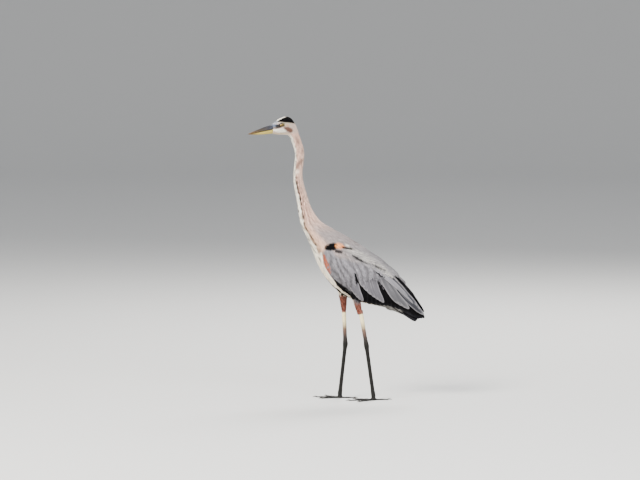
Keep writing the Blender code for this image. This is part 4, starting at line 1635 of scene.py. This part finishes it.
class HeronFeathers(bpy.types.PropertyGroup):
    """How the small feathers grow."""

    density: FloatProperty(name="Density", description="How close feathers root",
                           default=1.0, min=0.4, max=1.6)
    seed: IntProperty(name="Seed", description="Which scatter the feathers take", default=11)


class HeronLegs(bpy.types.PropertyGroup):
    """Colours down the legs."""

    knee: colour_property("Knee", "Just under the thigh feathers", (0.78, 0.68, 0.38))
    shank: colour_property("Shank", "Middle of the upper leg", (0.13, 0.075, 0.055))
    ankle: colour_property("Above the ankle", "End of the upper leg", (0.028, 0.022, 0.02))
    tarsus: colour_property("Lower leg", "Below the ankle joint", (0.007, 0.0068, 0.0055))
    foot: colour_property("Foot", "Toes", (0.008, 0.0072, 0.0066))


class HeronBill(bpy.types.PropertyGroup):
    """Colours of the bill."""

    tip: colour_property("Tip", "Point of the bill", (0.1, 0.052, 0.018))
    middle: colour_property("Middle", "Sides of the upper half", (0.038, 0.026, 0.013))
    base: colour_property("Base", "Next to the face", (0.026, 0.028, 0.038))
    ridge: colour_property("Ridge", "Along the top", (0.018, 0.018, 0.023))
    lower: colour_property("Lower half", "Sides of the lower half", (0.36, 0.275, 0.065))
    edge: colour_property("Cutting edge", "Where the halves meet", (0.017, 0.013, 0.011))


class HeronEye(bpy.types.PropertyGroup):
    """Colours of the eye."""

    iris: colour_property("Iris", "Inner iris", (0.24, 0.135, 0.003))
    iris_rim: colour_property("Iris rim", "Outer iris", (0.11, 0.048, 0.003))
    pupil: colour_property("Pupil", "Pupil and outer ring", (0.0033, 0.0032, 0.0037))
    lid: colour_property("Lid", "Bare ring round the eye", (0.02, 0.021, 0.026))


class HeronStage(bpy.types.PropertyGroup):
    """Floor, lights and camera."""

    key: FloatProperty(name="Key light", description="Power of the main light", default=1700.0,
                       unit="POWER")
    fill: FloatProperty(name="Sky light", description="Strength of the even light",
                        default=1.15)
    distance: FloatProperty(name="Camera distance", description="From the middle of the bird",
                            default=14.0, unit="LENGTH")
    elevation: FloatProperty(name="Camera elevation", description="Angle above level",
                             default=math.radians(4.0), subtype="ANGLE")
    width: FloatProperty(name="Framed width", description="Width seen at the bird",
                         default=2.56, unit="LENGTH")


GROUPS = {
    "heron_plumage": HeronPlumage, "heron_feathers": HeronFeathers, "heron_legs": HeronLegs,
    "heron_bill": HeronBill, "heron_eye": HeronEye, "heron_stage": HeronStage,
}


# --- Operators -------------------------------------------------------------------------------


# The small feathers' pieces, in the order in which they grow: their zone and their slot.
COATS = {
    "face_feathers": ("face", "pale_plumage"),
    "head_feathers": ("head", "lilac_plumage"),
    "neck_feathers": ("neck", "lilac_plumage"),
    "breast_feathers": ("breast", "pale_plumage"),
    "back_feathers": ("back", "lilac_plumage"),
    "belly_feathers": ("belly", "pale_plumage"),
}
SIDE_COATS = {
    "thigh_feathers": ("thigh", "rufous_plumage"),
    "wing_coverts": ("wing", "grey_plumage"),
    "quill_bases": ("quill", "dark_plumage"),
}


class HERON_OT_skin(bpy.types.Operator):
    """Makes one skin over the body, legs and feet"""

    bl_idname = "heron.skin"
    bl_label = "Skin"

    def execute(self, context):
        skin()
        return {"FINISHED"}


class HERON_OT_small_feathers(bpy.types.Operator):
    """Grows the small feathers of every part of the body"""

    bl_idname = "heron.small_feathers"
    bl_label = "Small Feathers"

    def execute(self, context):
        seed = context.scene.heron_feathers.seed
        for i, (name, (zone, slot)) in enumerate(COATS.items()):
            feather_coat(name, zone, slot, 0, seed + i)
        for side, sign in SIDES:
            for i, (name, (zone, slot)) in enumerate(SIDE_COATS.items(), len(COATS)):
                feather_coat(f"{name}_{side}", zone, slot, sign, seed + i)
        return {"FINISHED"}


class HERON_OT_quills(bpy.types.Operator):
    """Lays the big feathers of the folded wings and the tail"""

    bl_idname = "heron.quills"
    bl_label = "Quills"

    def execute(self, context):
        for side, sign in SIDES:
            for name, row in WING_ROWS.items():
                lay_wing_row(name, row, side, sign)
        lay_tail()
        return {"FINISHED"}


class HERON_OT_bill(bpy.types.Operator):
    """Makes both halves of the bill"""

    bl_idname = "heron.bill"
    bl_label = "Bill"

    def execute(self, context):
        bill_half("bill_upper", "upper_bill", True, "upper_bill")
        bill_half("bill_lower", "lower_bill", False, "lower_bill")
        return {"FINISHED"}


class HERON_OT_eyes(bpy.types.Operator):
    """Makes the eyes and their lids"""

    bl_idname = "heron.eyes"
    bl_label = "Eyes"

    def execute(self, context):
        for side, sign in SIDES:
            eye(side, sign)
            eyelid(side, sign)
        return {"FINISHED"}


class HERON_OT_claws(bpy.types.Operator):
    """Makes the claws of both feet"""

    bl_idname = "heron.claws"
    bl_label = "Claws"

    def execute(self, context):
        for side, _ in SIDES:
            claws(side)
        return {"FINISHED"}


class HERON_OT_stage(bpy.types.Operator):
    """Sets the floor, the lights and the camera"""

    bl_idname = "heron.stage"
    bl_label = "Stage"

    def execute(self, context):
        settings = context.scene.heron_stage
        floor()
        lights(settings)
        camera(settings)
        return {"FINISHED"}


def floor():
    """A round floor that rises into a wall far outside the bird and the camera."""
    profile = [(0.5, 0.0), (6.0, 0.0), (17.0, 0.0), (18.0, 0.0)]
    profile += [
        (18.0 + 8 * math.sin(a), 8 - 8 * math.cos(a))
        for a in (math.radians(10 * k) for k in range(1, 10))
    ]
    profile.append((26.0, 14.0))
    sides = 96
    rows = np.array([
        [(r * math.cos(a), r * math.sin(a), z) for a in circle(sides)] for r, z in profile
    ])
    faces = flipped(tube_faces(len(rows), sides)[:-1])
    sweep = make_mesh("floor", rows.reshape(-1, 3), faces, material=floor_material())


def lights(settings):
    """Soft lamps round the bird, and an even sky."""
    for name, place, size, power, tone in (
        ("key", (4.2, -3.6, 5.2), 2.6, settings.key, (1.0, 0.965, 0.91)),
        ("side", (4.5, 3.2, 2.4), 3.0, settings.key * 0.28, (0.93, 0.96, 1.0)),
        ("back", (-4.0, 1.5, 4.5), 2.5, settings.key * 0.4, (1.0, 0.98, 0.95)),
    ):
        data = bpy.data.lights.new(name, "AREA")
        data.size = size
        data.energy = power
        data.color = tone
        lamp = bpy.data.objects.new(name, data)
        bpy.context.scene.collection.objects.link(lamp)
        lamp.location = place
        aim = Vector((0, 0, 0.6)) - lamp.location
        lamp.rotation_euler = aim.to_track_quat("-Z", "Y").to_euler()
    world = bpy.data.worlds.new("studio")
    world.use_nodes = True
    sky = world.node_tree.nodes["Background"].inputs
    sky["Color"].default_value = (0.93, 0.95, 1.0, 1)
    sky["Strength"].default_value = settings.fill
    bpy.context.scene.world = world


def camera(settings):
    """Looks square at the bird's left side from a little above."""
    target = Vector((0.0, -0.068, 0.64))
    data = bpy.data.cameras.new("camera")
    data.sensor_width = 36.0
    data.lens = data.sensor_width * settings.distance / settings.width
    lens_point = bpy.data.objects.new("camera", data)
    bpy.context.scene.collection.objects.link(lens_point)
    out = Vector((math.cos(settings.elevation), 0.0, math.sin(settings.elevation)))
    lens_point.location = target + out * settings.distance
    lens_point.rotation_euler = (-out).to_track_quat("-Z", "Y").to_euler()
    bpy.context.scene.camera = lens_point


OPERATORS = (HERON_OT_skin, HERON_OT_small_feathers, HERON_OT_quills, HERON_OT_bill,
             HERON_OT_eyes, HERON_OT_claws, HERON_OT_stage)


class HERON_PT_panel(bpy.types.Panel):
    """Lists the heron's pieces, sizes and colours"""

    bl_label = "Great Blue Heron"
    bl_idname = "HERON_PT_panel"
    bl_space_type = "VIEW_3D"
    bl_region_type = "UI"
    bl_category = "Heron"

    def draw(self, context):
        for operator in OPERATORS:
            self.layout.operator(operator.bl_idname)
        for name, group in GROUPS.items():
            box = self.layout.box()
            box.label(text=group.__doc__)
            for field in group.__annotations__:
                box.prop(getattr(context.scene, name), field)


def register():
    for cls in (*GROUPS.values(), *OPERATORS, HERON_PT_panel):
        bpy.utils.register_class(cls)
    for name, group in GROUPS.items():
        setattr(bpy.types.Scene, name, PointerProperty(type=group))


def unregister():
    for name in GROUPS:
        delattr(bpy.types.Scene, name)
    for cls in reversed((*GROUPS.values(), *OPERATORS, HERON_PT_panel)):
        bpy.utils.unregister_class(cls)


def main():
    register()
    bpy.ops.heron.skin()
    bpy.ops.heron.small_feathers()
    bpy.ops.heron.quills()
    bpy.ops.heron.bill()
    bpy.ops.heron.eyes()
    bpy.ops.heron.claws()
    bpy.ops.heron.stage()


if __name__ == "__main__":
    main()
